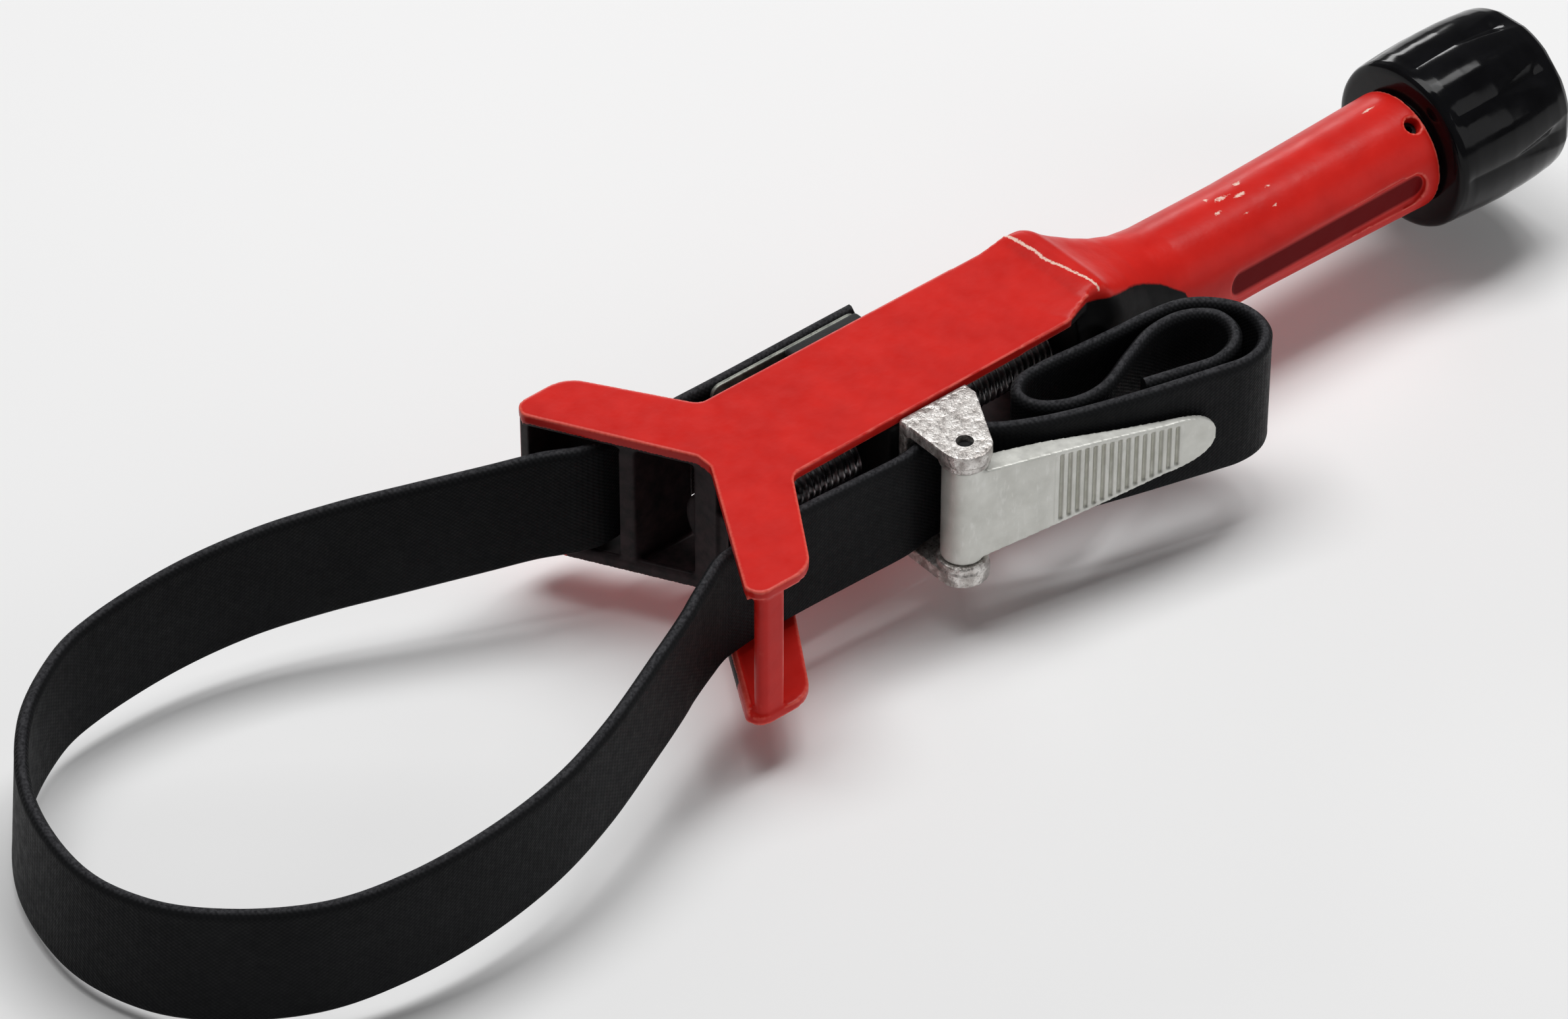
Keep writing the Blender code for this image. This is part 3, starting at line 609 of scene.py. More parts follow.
def plate(low, high):
    """Forked plate, drawn in on the near side where the neck begins."""
    arm = (
        (0.0, NOTCH_HALF, 2.4),
        (*ARM_TIP, 2.2),
        (-19.2, 42.3, 3.2),
        (-5.2, 42.5, 8.5),
        (12.0, 16.0, 3.5),
    )
    neck_end = ((101.0, 15.7, 0), (101.0, -13.6, 0), (94.0, -15.7, 6.0))
    near_arm = [(x, -y, radius) for x, y, radius in reversed(arm)]
    return prism(rounded([*arm, *neck_end, *near_arm]), low, high)


FAR_WALL = (
    (-19.0, 40.0),
    (-13.0, 40.1),
    (-9.6, 40.0),
    (-6.6, 39.2),
    (-4.6, 37.3),
    (-2.8, 34.6),
    (-1.4, 32.3),
)


def fork_edge(y):
    """X of the fork's V at this distance from the middle."""
    return ARM_TIP[0] * (y - NOTCH_HALF) / (ARM_TIP[1] - NOTCH_HALF)


def arm_walls(side):
    """The rib beside the strap's slot and the lips of the fork's V, on one side."""
    rib = [(fork_edge(15.9) + 0.5, 15.9), (9.6, 15.9), (9.6, 19.0), (fork_edge(19.0) + 0.5, 19.0)]
    lip = [(fork_edge(y) + 0.4, y) for y in (3.0, 39.0)]
    lip += [(x + 1.6, y) for x, y in reversed(lip)]
    walls = [(rib, *WALL_Z), (lip, 16.4, 18.0), (lip, -17.2, -15.6)]
    return [prism([(x, y * side) for x, y in outline], low, high) for outline, low, high in walls]


def tip_walls():
    """The post at the near arm's tip and the curved wall that closes the far arm."""
    post = rounded(((-18.9, -41.9, 2.2), (-12.0, -41.9, 1.0), (-12.0, -38.4, 1.0), (-18.9, -38.4, 1.5)))
    return [prism(post, *WALL_Z), prism(ribbon(smooth(FAR_WALL, 4), 1.7), *WALL_Z)]


def notch_web():
    """The web at the bottom of the V and its boss, both bored for the spindle's journal."""
    solids = (block((0.0, 7.0), (-4.0, 4.0), WALL_Z), rod((BOSS_X[0], 0, 0), (BOSS_X[1], 0, 0), BOSS_R))
    return [cut(solid, rod((2.6, 0, 0), (BOSS_X[1] + 1, 0, 0), JOURNAL_BORE_R)) for solid in solids]


RAMP_X = (86.0, 102.0)


def ramp(side):
    """The plate swells towards the neck from an arc-shaped crease."""
    across = np.linspace(-15.4, 15.4, 25)
    crease = 88.5 + 5.5 * (across / 15.4) ** 2
    rings = []
    for x in np.linspace(*RAMP_X, 24):
        rise = np.clip((x - crease) / (RAMP_X[1] - crease), 0.0, 1.0)
        near = -np.interp(x, (93.0, 101.0), (15.4, 13.3))
        surface = [(x, max(y, near), side * (19.9 + 1.8 * r)) for y, r in zip(across, rise)]
        rings.append([*surface, (x, 15.4, side * 18.2), (x, near, side * 18.2)])
    return loft(rings)


def superellipse(x, half_y, half_z, power):
    """A ring across the handle, from round at power 2 to nearly square at power 16."""
    ring = []
    for i in range(128):
        angle = 2 * math.pi * (i + 0.5) / 128
        c, s = math.cos(angle), math.sin(angle)
        y = half_y * math.copysign(abs(c) ** (2 / power), c)
        z = half_z * math.copysign(abs(s) ** (2 / power), s)
        ring.append((x, y, z))
    return ring


def screw_rod(degrees, inner, outer, radius, sides):
    """A rod along a set screw's line, between two distances from the spindle's axis."""
    turn = math.radians(degrees)
    out = Vector((0, -math.sin(turn), math.cos(turn)))
    centre = Vector((SET_SCREW_X, 0, 0))
    return rod(centre + out * inner, centre + out * outer, radius, sides)


NECK = (
    # X, half width, half height, squareness
    (92.0, 15.2, 19.2, 16.0),
    (98.0, 15.7, 20.5, 16.0),
    (101.0, 15.8, 21.9, 16.0),
    (103.0, 15.8, 22.6, 14.0),
    (105.2, 15.7, 22.9, 11.0),
    (107.3, 15.45, 22.5, 8.5),
    (109.5, 15.15, 21.1, 6.0),
    (112.0, 14.8, 19.9, 5.0),
    (117.0, 14.1, 17.9, 3.6),
    (122.0, 13.7, 16.2, 2.8),
    (128.0, 13.8, 14.8, 2.2),
    (135.0, 13.9, 14.0, 2.0),
    (161.0, 13.7, 13.7, 2.0),
    (185.0, 14.2, 14.2, 2.0),
    (213.0, 14.95, 14.95, 2.0),
)


def handle():
    """Neck and handle with the spindle's bore, the side recesses and the set screws' holes."""
    places = np.concatenate([np.arange(CHANNEL_END, 130.0, 0.8), np.linspace(130.0, HANDLE_END, 30)])
    along, *columns = zip(*NECK)
    sizes = [np.interp(places, along, column) for column in columns]
    rings = []
    for x, *section in zip(places, *sizes):
        pull = 0.15 * smoothstep(x, 94.0, 99.0) * (1 - smoothstep(x, 103.0, 112.0))
        ring = np.array(superellipse(x, *section))
        near = ring[:, 1] < 0
        ring[near, 1] *= 1 - pull * smoothstep(np.abs(ring[near, 2]), 8.0, 19.0)
        rings.append(ring)
    tube = loft(rings)
    cutters = [
        rod((CHANNEL_END - 1, 0, 0), (131.0, 0, 0), NECK_BORE_R),
        rod((130.0, 0, 0), (HANDLE_END + 1, 0, 0), BUSH_BORE_R, 96),
    ]
    panel = rounded(((147.2, -4.5, 4.45), (208.8, -4.5, 4.45), (208.8, 4.5, 4.45), (147.2, 4.5, 4.45)))
    for side in (1, -1):
        cutters.append(prism(panel, 13.05, 20.0, Matrix.Rotation(-side * math.pi / 2, 4, "X")))
    for angle in SET_SCREW_ANGLES:
        cutters.append(screw_rod(angle, 6.0, 20.0, 2.1, 32))
    return cut(tube, *cutters)


def edge_wear_and_highlight(mesh):
    """How sharply the skin turns outwards at each point, from 0 to 1."""
    points, normals = coordinates(mesh), directions(mesh)
    ends = np.empty(len(mesh.edges) * 2, np.int32)
    mesh.edges.foreach_get("vertices", ends)
    a, b = ends.reshape(-1, 2).T
    run = points[b] - points[a]
    length = np.linalg.norm(run, axis=1) + 1e-9
    turn = np.einsum("ij,ij->i", normals[b] - normals[a], run) / length**2
    total = np.bincount(a, turn, len(points)) + np.bincount(b, turn, len(points))
    count = np.bincount(a, minlength=len(points)) + np.bincount(b, minlength=len(points))
    return np.clip(total / np.maximum(count, 1) / 0.9, 0.0, 1.0)


CHIPS = (
    # X, degrees from +Z towards the near side, length along X, width in degrees
    (156.0, -2.0, 5.5, 8.0),
    (160.5, 5.0, 4.5, 7.0),
    (163.0, -10.0, 3.5, 9.0),
    (152.0, 12.0, 3.0, 6.0),
    (168.0, 12.0, 2.5, 5.0),
    (158.0, 26.0, 2.0, 4.0),
    (166.0, 33.0, 2.5, 4.0),
    (204.5, -8.0, 6.0, 5.0),
    (153.0, -10.0, 2.0, 7.0),
)


def chip_wear(points):
    """Where the paint has gone: the ridge ahead of the neck and scattered knocks on the handle."""
    x, y, z = points.T
    crest = np.interp(y, (-12.5, -4.0, 2.0, 5.5, 14.0), (105.5, 103.9, 102.6, 102.8, 102.1))
    ridge = np.exp(-(((x - crest) / 0.8) ** 2)) * (z > 19.0) * smoothstep(y, -13.8, -12.8) * 0.72
    bearing = np.degrees(np.arctan2(-y, z))
    wear = ridge
    for at, angle, length, width in CHIPS:
        spot = np.exp(-(((x - at) / length) ** 2) * 2 - (((bearing - angle) / width) ** 2) * 2)
        wear = np.maximum(wear, spot * (x > 120.0) * (np.hypot(y, z) > 12.5) * 0.70)
    return wear


FLANK_SHADE_X = (95.0, 98.0, 101.0, 105.0, 109.0, 113.0, 119.0, 127.0, 133.0, 140.0)
FLANK_SHADE_Z = (19.3, 19.9, 20.0, 19.2, 18.2, 16.8, 14.5, 10.5, 6.0, -12.0)


def bare_metal_and_shade(points, normals):
    """Where the casting is dark: unpainted inside the channel, the far arm and the bore, and painted shade on
    the bottom plate's front edge that faces -X and on the neck's flank beside the strap.
    """
    x, y, z = points.T
    channel = (z > -17.3) & (z < 17.45) & (x < 97.9) & (y > -19.3) & (y < 37.0)
    # Painted shade: the bottom plate's front edge, facing -X away from the light, is darkened.
    edge = (z < -16.0) & (normals[:, 0] < -0.45) & (np.abs(y) < 30.0) & (x < 3.0)
    pocket = (y > 36.0) & (np.abs(z) < 17.3) & (normals[:, 1] < 0.3)
    # Painted shade: the neck's flank beside the strap is darkened up to this height.
    flank = smoothstep(np.interp(x, FLANK_SHADE_X, FLANK_SHADE_Z) - z, -0.8, 0.8)
    flank *= (x >= 95.0) & (z > -14.0) & (x < 140.0) & (y < -5.0)
    inside = (x > 97.9) & (np.hypot(y, z) < 11.2)
    return np.maximum.reduce([channel * 1.0, edge * 0.9, pocket * 1.0, flank * 0.9, inside * 1.0])


def build_casting():
    """The enamelled frame, with its wear, unpainted places and painted shade stored for the material."""
    pieces = [plate(*TOP_PLATE), plate(*BOTTOM_PLATE), *notch_web()]
    pieces += arm_walls(1) + arm_walls(-1) + tip_walls()
    pieces += [ramp(1), ramp(-1), handle()]
    obj = cast(pieces, 0.45, 3, 0.5)
    points, normals = coordinates(obj.data), directions(obj.data)
    # This edge mask drives the paler enamel: worn paint and a painted edge highlight.
    store(obj.data, "edge", edge_wear_and_highlight(obj.data))
    store(obj.data, "chip", chip_wear(points))
    store(obj.data, "bare_and_shade", bare_metal_and_shade(points, normals))
    # Painted shade along the neck: past X 92 to 97 the dark places go darker still.
    store(obj.data, "neck_shade", smoothstep(points[:, 0], 92.0, 97.0))
    place("frame_body", obj, ENAMEL, "frame", "red_enamel", "frame_casting")


# ---- Spindle, bearing and knob ----


THREAD_X = (12.5, 112.0)
THREAD_PITCH = 1.75
SPINDLE_X = (3.2, 3.6, 9.8, 10.0, 10.6, 196.2, 196.4, 198.4, 198.6, 235.4, 236.0)
SPINDLE_R = (3.4, 4.0, 4.0, 5.4, 5.95, 5.95, 4.9, 4.9, 5.7, 5.7, 5.0)


def build_spindle():
    """M12 screw with a real helix, running out into a plain shank."""
    fine = np.arange(11.0, 113.5, THREAD_PITCH / 8)
    places = np.sort(np.concatenate([SPINDLE_X, fine, [120.0]]))
    turns = np.array(around(48))
    run_in = smoothstep(places, THREAD_X[0] - 1.2, THREAD_X[0])
    depth = 1.05 * run_in * (1 - smoothstep(places, 109.0, THREAD_X[1]))
    phase = (places[:, None] / THREAD_PITCH - turns[None, :] / (2 * np.pi)) % 1.0
    groove = np.clip(np.abs(phase - 0.5) * 2.6 - 0.15, 0.0, 1.0)
    radius = np.interp(places, SPINDLE_X, SPINDLE_R)[:, None] - depth[:, None] * (1 - groove)
    rings = []
    for x, row in zip(places, radius):
        rings.append([(x, r * math.cos(a), r * math.sin(a)) for r, a in zip(row, turns)])
    place("screw_spindle", loft(rings), TURNED, "spindle", "steel", "spindle", angle=60)


KNOB_X = (214.2, 214.4, 215.0, 216.2, 219.0, 225.0, 231.0, 237.0, 242.0, 246.5, 249.2, 250.6, 251.3)
KNOB_R = (18.8, 20.0, 20.9, 21.4, 21.9, 22.3, 22.5, 22.4, 22.1, 21.6, 21.0, 20.1, 18.8)
KNOB_MOUTH = (214.5, 7.0)
KNOB_RECESS = ((251.3, 11.2), (250.9, 10.0), (249.6, 9.5), (239.6, 9.5), (239.4, 5.0))
FLUTE_CENTRE = 43.0


def knob_radius(x, degrees):
    """Eight soft facets, and between them flutes that widen towards the knob's end."""
    base = np.interp(x, KNOB_X, KNOB_R)
    off = (degrees - FLUTE_CENTRE + 22.5) % 45.0 - 22.5
    facet = 0.55 * (1 / np.cos(np.radians(22.5 - abs(off))) - 1) * base
    facet *= smoothstep(x, 215.0, 219.0) * (1 - smoothstep(x, 242.0, 251.0))
    opening = np.clip((x - 231.0) / 17.0, 0.0, 1.0)
    half = 2.0 + 9.0 * opening
    depth = np.interp(x, (231.0, 243.5, 251.3), (0.0, 0.85, 0.3))
    flute = depth * np.clip(1 - (off / half) ** 2, 0.0, 1.0)
    crown = 0.1 * smoothstep(x, 215.0, 219.0) * (1 - smoothstep(x, 240.0, 250.0))
    return base + crown - facet - flute


def knob_ring(x, radius):
    """Points round the knob at X, one a degree, at one radius or at a radius for each."""
    turns = np.radians(np.arange(360))
    return [(x, -r * math.sin(a), r * math.cos(a)) for a, r in zip(turns, np.broadcast_to(radius, 360))]


def build_knob():
    """Moulded knob, hollow at its end for the screw that holds it."""
    skirt = np.linspace(214.2, 219.0, 18)
    grip = np.linspace(219.8, 248.0, 56)
    rim = np.linspace(248.3, 251.3, 12)
    rings = [knob_ring(*KNOB_MOUTH)]
    rings += [knob_ring(x, knob_radius(x, np.arange(360))) for x in (*skirt, *grip, *rim)]
    rings += [knob_ring(x, r) for x, r in KNOB_RECESS]
    place("grip_knob", loft(rings), KNOB, "spindle", "black_plastic", "knob", angle=55)


def build_bearing():
    """The bush in the handle's end, the thrust washers, and what holds the spindle and the knob."""
    place("end_bush", collar((199.5, 212.9), 6.3, 10.6), BRONZE, "frame", "bronze", "bearing_bush", angle=40)
    washers = (
        ("front_washer", (8.3, 9.7), 4.3, 8.4, "frame", "front_thrust_washer"),
        ("rear_washer", (213.2, 214.1), 6.3, 13.0, "frame", "rear_thrust_washer"),
        ("groove_ring", (196.7, 198.1), 5.2, 8.6, "spindle", "retaining_ring"),
        ("end_washer", (239.6, 241.1), 2.8, 8.8, "spindle", "knob_washer"),
    )
    for name, x, inner, outer, body, node in washers:
        place(name, collar(x, inner, outer), PLATED, body, "steel", node, angle=40)


def build_set_screws():
    """Headless screws with a hexagonal socket, round the handle's end."""
    for number, angle in enumerate(SET_SCREW_ANGLES, 1):
        screw = cut(screw_rod(angle, 7.0, 12.2, 1.8, 32), screw_rod(angle, 10.6, 13.0, 1.05, 6))
        node = f"bush_set_screw_{number}"
        place(f"grub_screw_{number}", screw, BLACKENED, "frame", "steel", node, angle=40)


def build_knob_screw():
    """Socket-head screw in the knob's end."""
    profile = ((224.2, 1.6), (224.8, 2.4), (241.4, 2.4), (241.4, 4.1), (246.0, 4.2), (246.4, 3.9))
    screw = cut(turned(profile), rod((243.6, 0, 0), (247.0, 0, 0), 2.3, 6))
    place("end_screw", screw, TURNED, "spindle", "steel", "knob_screw", angle=40)


# ---- Buckle and lever ----


def ear_outline():
    """Ear of the buckle: straight along the web, round about the pin, tapering between."""
    pin = Vector(PIN)
    angles = [math.radians(180 + 138 * k / 20) for k in range(21)]
    nose = [pin + 6.3 * Vector((math.cos(a), math.sin(a))) for a in angles]
    return [(WEB_X[0] + 0.4, WEB_Y[1]), *nose, (WEB_X[1], -19.9), (WEB_X[1], WEB_Y[1])]


def build_buckle():
    """Web with countersunk holes, and an ear above and below that the pin goes through."""
    outline = ear_outline()
    pieces = [prism(outline, 15.7, 19.0), prism(outline, -19.0, -15.7), block(WEB_X, WEB_Y, (-18.6, 18.6))]
    for side in (1, -1):
        pieces.append(rod((*PIN, side * 13.75), (*PIN, side * 17.0), 5.9))
    bracket = cast(pieces, 0.35, 2, 0.6)
    holes = [rod((*PIN, -24.0), (*PIN, 24.0), PIN_HOLE_R, 48)]
    for z in WEB_SCREW_Z:
        holes.append(across_rod(WEB_SCREW_X, (-15.0, -30.0), z, FASTENER_HOLE_R))
        holes.append(across_rod(WEB_SCREW_X, (-17.2, -19.6), z, FASTENER_HOLE_R, tip_radius=4.4))
    cut(bracket, *holes)
    place("buckle_body", bracket, EAR_ZINC, "carriage", "cast_zinc", "buckle_bracket", angle=40)
    pin = rod((*PIN, -17.4), (*PIN, 17.4), 1.75, 48)
    place("hinge_pin", pin, BLACKENED, "carriage", "steel", "lever_pin", angle=40)


def lever_matrix():
    """From the lever's own axes, with X along its closed arm, to the frame's."""
    turn = Matrix.Rotation(math.radians(ARM_ANGLE), 4, "Z")
    return Matrix.Translation((PIN[0] * MM, PIN[1] * MM, 0)) @ turn


TIP_START = 50.0


def arm_half(along):
    """Half height of the arm: a straight taper, slightly fuller in its middle."""
    return 12.7 - 0.118 * along + 0.5 * math.sin(math.pi * min(1.0, along / 60.0))


def arm_outline():
    """Front view of the arm, tapering to a round tip."""
    top = [(u, arm_half(u)) for u in np.linspace(0.8, TIP_START, 14)]
    for k in range(1, 10):
        turn = math.pi / 2 * k / 10
        reach = (ARM_LENGTH - TIP_START) * math.sin(turn)
        top.append((TIP_START + reach, arm_half(TIP_START) * math.cos(turn) ** 0.8))
    return top + [(ARM_LENGTH, 0.0)] + [(u, -v) for u, v in reversed(top)]


def arm_flange(sign):
    """A flange that stands in from the arm's edge and dies away to the tip."""
    face = -ARM_FACE + 0.2
    rings = []
    for u in np.linspace(1.0, 56.0, 24):
        depth = np.interp(u, (1, 5, 20, 38, 54, 56), (2.8, 1.0, 0.2, -1.9, -2.8, -3.2))
        outer, inner = arm_half(u) * sign, (arm_half(u) - 2.0) * sign
        rings.append([(u, face, outer), (u, depth, outer), (u, depth, inner), (u, face, inner)])
    flange = loft(rings)
    flange.data.transform(lever_matrix())
    return flange


def cam_outline():
    """The barrel with a nose that presses the strap against the buckle's web."""
    nose = math.radians(72 - ARM_ANGLE)
    points = []
    for angle in around(96):
        radius = 5.0 + 3.1 * max(0.0, math.cos(angle - nose)) ** 6
        points.append((radius * math.cos(angle), radius * math.sin(angle)))
    return points


def build_lever():
    """Cam lever: channel-shaped arm with a ribbed grip, and the barrel that turns on the pin."""
    barrel = prism(cam_outline(), -13.35, 13.35, lever_matrix())
    arm = prism(arm_outline(), -ARM_FACE, -3.0, lever_matrix() @ STANDING)
    lever = cast([barrel, arm, arm_flange(1), arm_flange(-1)], 0.3, 3)
    carve_grip(lever.data)
    cut(lever, rod((*PIN, -20.0), (*PIN, 20.0), PIN_HOLE_R, 48))
    place("cam_lever_body", lever, LEVER_ZINC, "lever", "cast_zinc", "cam_lever")


def carve_grip(mesh):
    """Sinks the grip's field a little and stands its ribs up again, on the outer face of the arm."""
    points = coordinates(mesh)
    to_lever = np.array(lever_matrix().inverted())
    local = points @ to_lever[:3, :3].T + to_lever[:3, 3] / MM
    u, v, z = local.T
    half = np.array([arm_half(a) for a in u])
    field = smoothstep(u, GRIP[0] - 0.5, GRIP[0] + 0.5) * (1 - smoothstep(u, GRIP[1] - 0.5, GRIP[1] + 0.5))
    field *= 1 - smoothstep(np.abs(z), half - 1.5, half - 0.8)
    ribs = 0.5 + 0.5 * np.cos(2 * np.pi * u / GRIP_PITCH)
    depth = field * (0.12 + 0.40 * (1 - ribs**0.7))
    face = (v < -ARM_FACE + 0.9) & (u > 5.0)
    store(mesh, "along_arm", u * MM)
    store(mesh, "grip", np.where(face, field, 0.0))
    move = np.where(face, depth, 0.0)
    out = np.array(lever_matrix())[:3, 1]
    moved = (points + move[:, None] * out[None, :]) * MM
    mesh.vertices.foreach_set("co", moved.astype(np.float32).ravel())
    mesh.update()


# ---- Carriage ----


def build_carriage():
    """Block that slides between the plates, and the nut in its pocket."""
    body = eased(block((40.5, 62.0), (-16.1, 21.0), (-16.4, 17.2)), 1.1)
    cutters = [rod((38.0, 0, 0), (64.0, 0, 0), NUT_BORE_R), block((46.2, 56.8), (-9.8, 9.8), (-9.8, 19.0))]
    cutters += [across_rod(x, (13.0, 30.0), 0, FASTENER_HOLE_R) for x in ANCHOR_RIVET_X]
    cutters += [across_rod(WEB_SCREW_X, (-30.0, -9.0), z, FASTENER_HOLE_R) for z in WEB_SCREW_Z]
    place("slide_block", cut(body, *cutters), BLOCK, "carriage", "black_casting", "carriage_block", angle=40)
    nut = eased(block((46.5, 56.5), (-9.5, 9.5), (-9.5, 9.5)), 1.2)
    cut(nut, rod((40.0, 0, 0), (60.0, 0, 0), NUT_BORE_R))
    place("screw_nut", nut, PLATED, "carriage", "steel", "spindle_nut", angle=40)


def build_anchor():
    """Plate under the strap's end on the far side, and the rivets through both."""
    outline = rounded(((20.6, -15.5, 2.5), (63.5, -15.5, 3.0), (63.5, 15.5, 3.0), (20.6, 15.5, 2.5)))
    metal = eased(prism(outline, 21.8, 22.9, STANDING), 0.3)
    cut(metal, *[across_rod(x, (13.0, 30.0), 0, FASTENER_HOLE_R) for x in ANCHOR_RIVET_X])
    place("clamp_plate", metal, PLATE_ZINC, "carriage", "cast_zinc", "anchor_plate", angle=40)
    shank = ((13.5, 1.0), (13.7, 2.0), (26.5, 2.0))
    head = ((26.5, 4.0), (27.0, 4.05), (27.7, 3.6), (28.2, 2.4), (28.35, 0.9))
    for number, x in enumerate(ANCHOR_RIVET_X, 1):
        rivet = turned_across(shank + head, x, 0)
        place(f"strap_rivet_{number}", rivet, PLATED, "carriage", "steel", f"anchor_rivet_{number}", angle=50)


def build_web_screws():
    """Countersunk screws with a hexagonal socket, through the buckle's web into the block."""
    profile = ((-18.9, 3.4), (-18.7, 3.55), (-17.1, 1.9), (-9.6, 1.9))
    for name, z in zip(("upper", "lower"), WEB_SCREW_Z):
        socket = across_rod(WEB_SCREW_X, (-20.0, -17.4), z, 1.4, 6)
        screw = cut(turned_across(profile, WEB_SCREW_X, z), socket)
        place(f"web_screw_{name}", screw, PLATED, "carriage", "steel", f"bracket_screw_{name}", angle=40)


# ---- Strap ----

# Middle of the strap seen from above: (X, Y), and round the loop (distance beyond LOOP_HINGE_X, Y).
ANCHOR_ROUTE = (
    (64.0, 25.0),
    (50.0, 25.0),
    (38.0, 25.0),
    (25.0, 25.0),
    (12.7, 25.1),
    (4.0, 25.1),
    (-4.0, 25.0),
    (-10.0, 24.7),
)
LOOP_ROUTE = (
    (-4.2, 26.2),
    (-1.0, 28.0),
    (4.0, 30.8),
    (14.5, 35.6),
    (31.0, 43.4),
    (47.0, 50.8),
    (64.5, 57.1),
    (84.0, 60.6),
    (105.0, 60.7),
    (119.0, 57.2),
    (135.0, 46.4),
    (147.7, 27.6),
    (152.3, 4.0),
    (147.6, -15.6),
    (136.6, -30.6),
    (121.0, -42.6),
    (104.0, -48.3),
    (84.4, -50.4),
    (64.0, -49.0),
    (45.0, -44.0),
    (23.7, -35.4),
    (13.0, -30.8),
    (8.0, -28.3),
    (1.0, -25.1),
    (-4.6, -22.7),
)
NEAR_ROUTE = (
    (-10.5, -22.0),
    (-4.0, -21.4),
    (9.0, -21.3),
    (25.0, -21.9),
    (38.0, -22.4),
    (44.0, -21.6),
    (49.0, -21.2),
    (53.0, -21.6),
    (57.0, -23.7),
    (63.0, -28.4),
    (70.0, -32.2),
    (78.0, -35.4),
    (88.0, -38.6),
    (97.0, -41.2),
    (106.0, -43.6),
    (113.0, -45.4),
    (119.5, -46.8),
    (125.5, -45.8),
    (130.4, -41.8),
    (132.4, -36.0),
    (131.4, -30.6),
    (127.4, -25.2),
    (122.0, -21.8),
    (114.0, -20.4),
    (104.0, -19.9),
    (94.0, -19.2),
    (84.0, -18.3),
    (77.0, -18.8),
    (72.9, -22.6),
    (74.4, -28.2),
    (81.0, -32.2),
    (90.0, -32.6),
    (101.0, -28.4),
    (111.0, -25.0),
    (119.5, -25.3),
    (125.6, -29.4),
    (126.2, -35.0),
    (122.4, -40.2),
    (115.0, -42.1),
    (106.0, -40.0),
    (97.0, -37.6),
)


def evenly(route, step):
    """The same route with points this far apart."""
    along = np.concatenate([[0.0], np.cumsum(np.linalg.norm(np.diff(route, axis=0), axis=1))])
    wanted = np.linspace(0.0, along[-1], int(along[-1] / step) + 1)
    return np.stack([np.interp(wanted, along, route[:, i]) for i in range(route.shape[1])], axis=1), wanted


def strap_route():
    """Plan of the whole strap as rows of (X, Y), before the loop's tilt."""
    loop = [(LOOP_HINGE_X - u, v) for u, v in LOOP_ROUTE]
    return evenly(smooth([*ANCHOR_ROUTE, *loop, *NEAR_ROUTE], 10), 0.8)


def leaning(plan):
    """Middle of the strap in space and the way its width points, where the loop sags to its far end."""
    out = LOOP_HINGE_X - plan[:, 0]
    grid = np.linspace(-TILT_EASE, 180.0, 2000)
    tilt = LOOP_TILT * smoothstep(grid, -TILT_EASE, TILT_EASE)
    drop = np.concatenate([[0.0], np.cumsum(np.sin(tilt[1:]) * np.diff(grid))])
    reach = np.concatenate([[0.0], np.cumsum(np.cos(tilt[1:]) * np.diff(grid))]) - TILT_EASE
    angle = np.interp(out, grid, tilt)
    inside = out < -TILT_EASE
    x = np.where(inside, plan[:, 0], LOOP_HINGE_X - np.interp(out, grid, reach))
    z = np.where(inside, 0.0, -np.interp(out, grid, drop))
    middle = np.stack([x, plan[:, 1], z], axis=1)
    width = np.stack([np.sin(angle), np.zeros_like(angle), np.cos(angle)], axis=1)
    return middle, width


def strap_section():
    """Rounded rectangle of the strap as (across, thickness), thicker and rounder at its selvedges."""
    outline = []
    for w in np.linspace(-1.0, 1.0, 25):
        swell = 1.0 + 0.05 * math.exp(-(((abs(w) - 0.94) / 0.03) ** 2))
        ease = math.sqrt(max(0.0, 1 - max(0.0, (abs(w) * HALF_WIDTH - HALF_WIDTH + 0.8) / 0.8) ** 2))
        outline.append((w * HALF_WIDTH, HALF_THICK * swell * max(ease, 0.28)))
    return outline + [(w, -t) for w, t in reversed(outline)]


def build_strap():
    """The whole strap as one band that follows the fork at one end and the carriage at the other."""
    plan, along = strap_route()
    middle, width = leaning(plan)
    ahead = np.gradient(middle, axis=0)
    ahead /= np.linalg.norm(ahead, axis=1)[:, None]
    face = np.cross(width, ahead)
    face /= np.linalg.norm(face, axis=1)[:, None]
    ripple = 0.12 * np.sin(along / 23.0) + 0.08 * np.sin(along / 9.7 + 1.3)
    section = np.array(strap_section())
    sway = ripple[:, None] * (section[:, 0] * np.abs(section[:, 0]) / HALF_WIDTH**2)[None, :]
    across = section[None, :, 0] + sway
    points = middle[:, None, :] + across[:, :, None] * width[:, None, :]
    points += section[None, :, 1:] * face[:, None, :]
    obj = loft(points)
    rings, count = len(points), len(section)
    store(obj.data, "along", np.repeat(along, count) * MM)
    store(obj.data, "across", np.tile(section[:, 0], rings) * MM)
    nodes = ("strap_loop", "strap_far_run", "strap_anchor_end", "strap_near_run", "strap_tail")
    place("strap_webbing", obj, WEBBING, None, "webbing", *nodes, angle=60)
    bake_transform(obj)


# ---- Studio ----


def build_floor():
    """Pale floor just under the lowest point."""
    shape = bmesh.new()
    bmesh.ops.create_grid(shape, x_segments=1, y_segments=1, size=4.0)
    floor = from_bmesh("floor", shape)
    floor.location.z = CAD_BOX[0][2] - 0.002
    s = Shader("floor_pale", 0.9)
    s.colour(s.mix(s.noise(4, 2), (0.90, 0.90, 0.90), (0.93, 0.93, 0.93)))
    floor.data.materials.append(s.material)


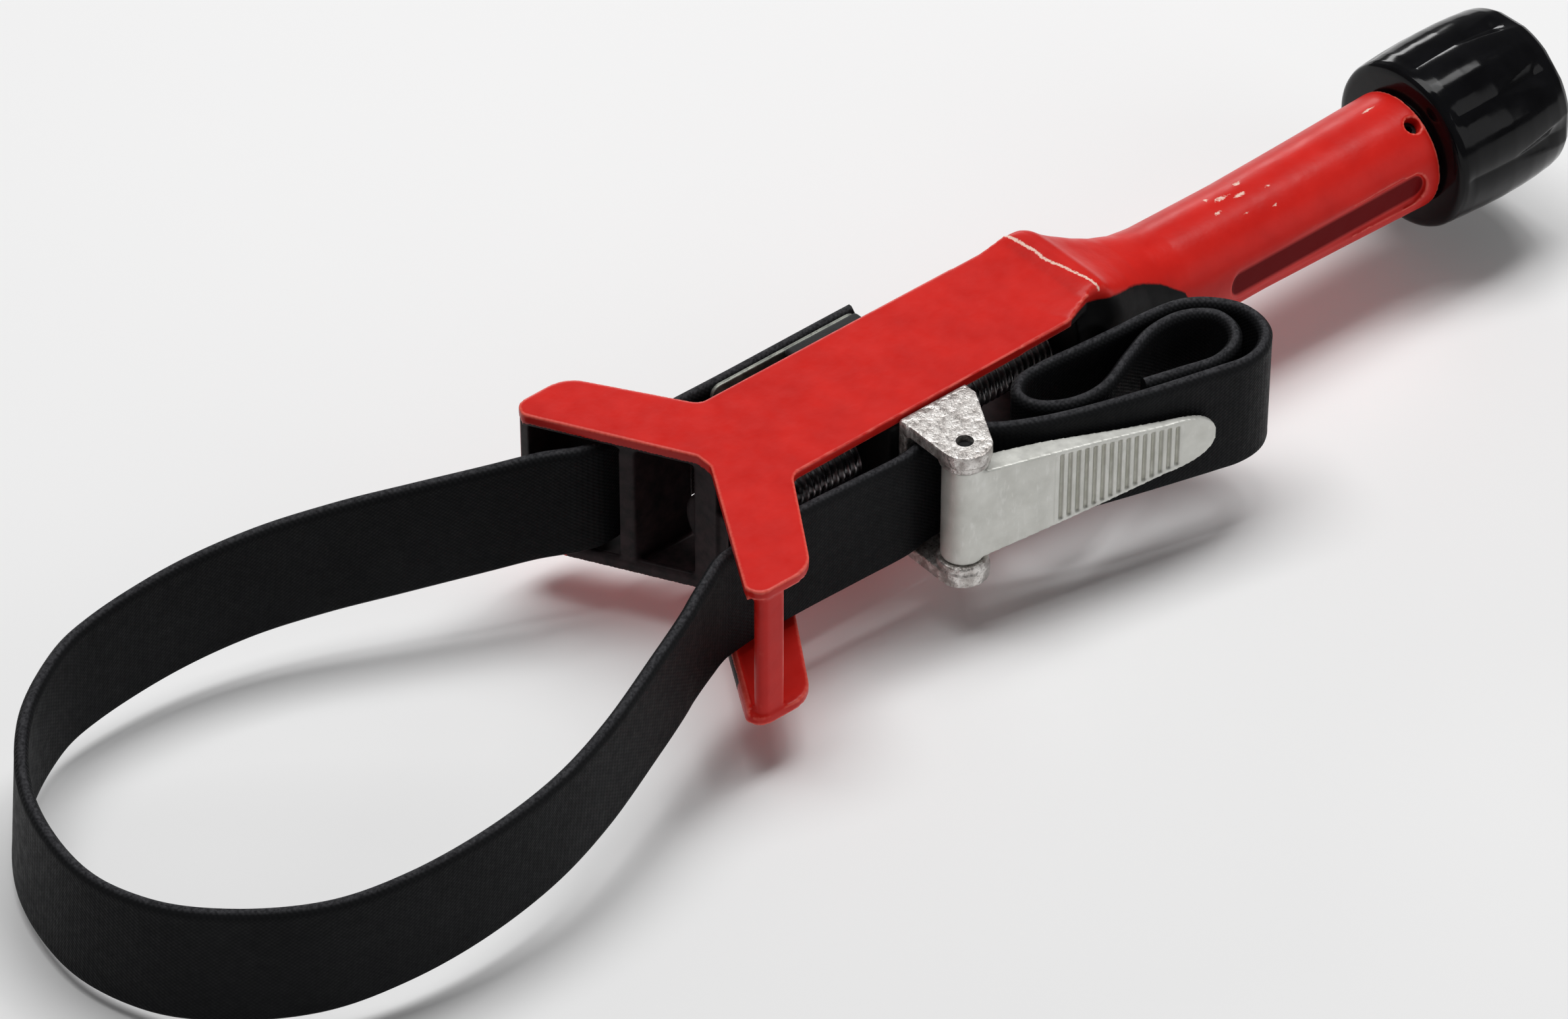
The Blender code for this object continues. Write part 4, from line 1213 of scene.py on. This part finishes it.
def area_light(name, place_at, look_at, size, power):
    """A white panel; places and sizes in metres, power in watts."""
    data = bpy.data.lights.new(name, "AREA")
    data.shape = "RECTANGLE"
    data.size, data.size_y = size
    data.energy = power
    lamp = bpy.data.objects.new(name, data)
    lamp.location = place_at
    lamp.rotation_euler = (Vector(look_at) - Vector(place_at)).to_track_quat("-Z", "Y").to_euler()
    bpy.context.scene.collection.objects.link(lamp)


def build_lights():
    """Soft white panels in a dim even surround."""
    world = bpy.data.worlds.new("studio")
    world.use_nodes = True
    background = world.node_tree.nodes["Background"]
    background.inputs["Color"].default_value = (1.0, 1.0, 1.0, 1.0)
    background.inputs["Strength"].default_value = 0.13
    bpy.context.scene.world = world
    bpy.context.scene.view_settings.view_transform = "Standard"
    area_light("overhead", (0.10, 0.25, 1.5), (0.03, 0.0, 0.0), (1.3, 0.7), 17.0)
    area_light("top_strip", (0.84, 0.05, 1.42), (0.12, 0.0, 0.0), (0.3, 0.5), 4.0)
    area_light("front_right", (0.70, -1.20, 0.62), (0.08, 0.0, 0.0), (0.8, 0.8), 2.2)
    area_light("back_right", (0.78, 1.20, 0.42), (0.12, 0.0, 0.0), (0.6, 0.2), 3.0)


CAMERA_TARGET = Vector((17.76, -6.21, 0.0)) * MM
CAMERA_TURN = math.radians(-40.32)
CAMERA_RISE = math.radians(40.61)
CAMERA_DISTANCE = 1.6
CAMERA_LENS = 164.93


def build_camera():
    """Camera at a distance from its target, turned about Z and raised by the angles above."""
    data = bpy.data.cameras.new("camera")
    data.lens = CAMERA_LENS
    data.sensor_width = 36.0
    data.clip_end = 20.0
    camera = bpy.data.objects.new("camera", data)
    back = Vector((
        math.sin(CAMERA_TURN) * math.cos(CAMERA_RISE),
        -math.cos(CAMERA_TURN) * math.cos(CAMERA_RISE),
        math.sin(CAMERA_RISE),
    ))
    right = Vector((math.cos(CAMERA_TURN), math.sin(CAMERA_TURN), 0.0))
    up = back.cross(right)
    turn = Matrix((right, up, back)).transposed().to_4x4()
    camera.matrix_world = Matrix.Translation(CAMERA_TARGET + back * CAMERA_DISTANCE) @ turn
    bpy.context.scene.collection.objects.link(camera)
    bpy.context.scene.camera = camera


build_camera()
build_lights()
build_floor()
build_casting()
build_spindle()
build_knob()
build_bearing()
build_set_screws()
build_knob_screw()
build_carriage()
build_anchor()
build_buckle()
build_web_screws()
build_lever()
build_strap()
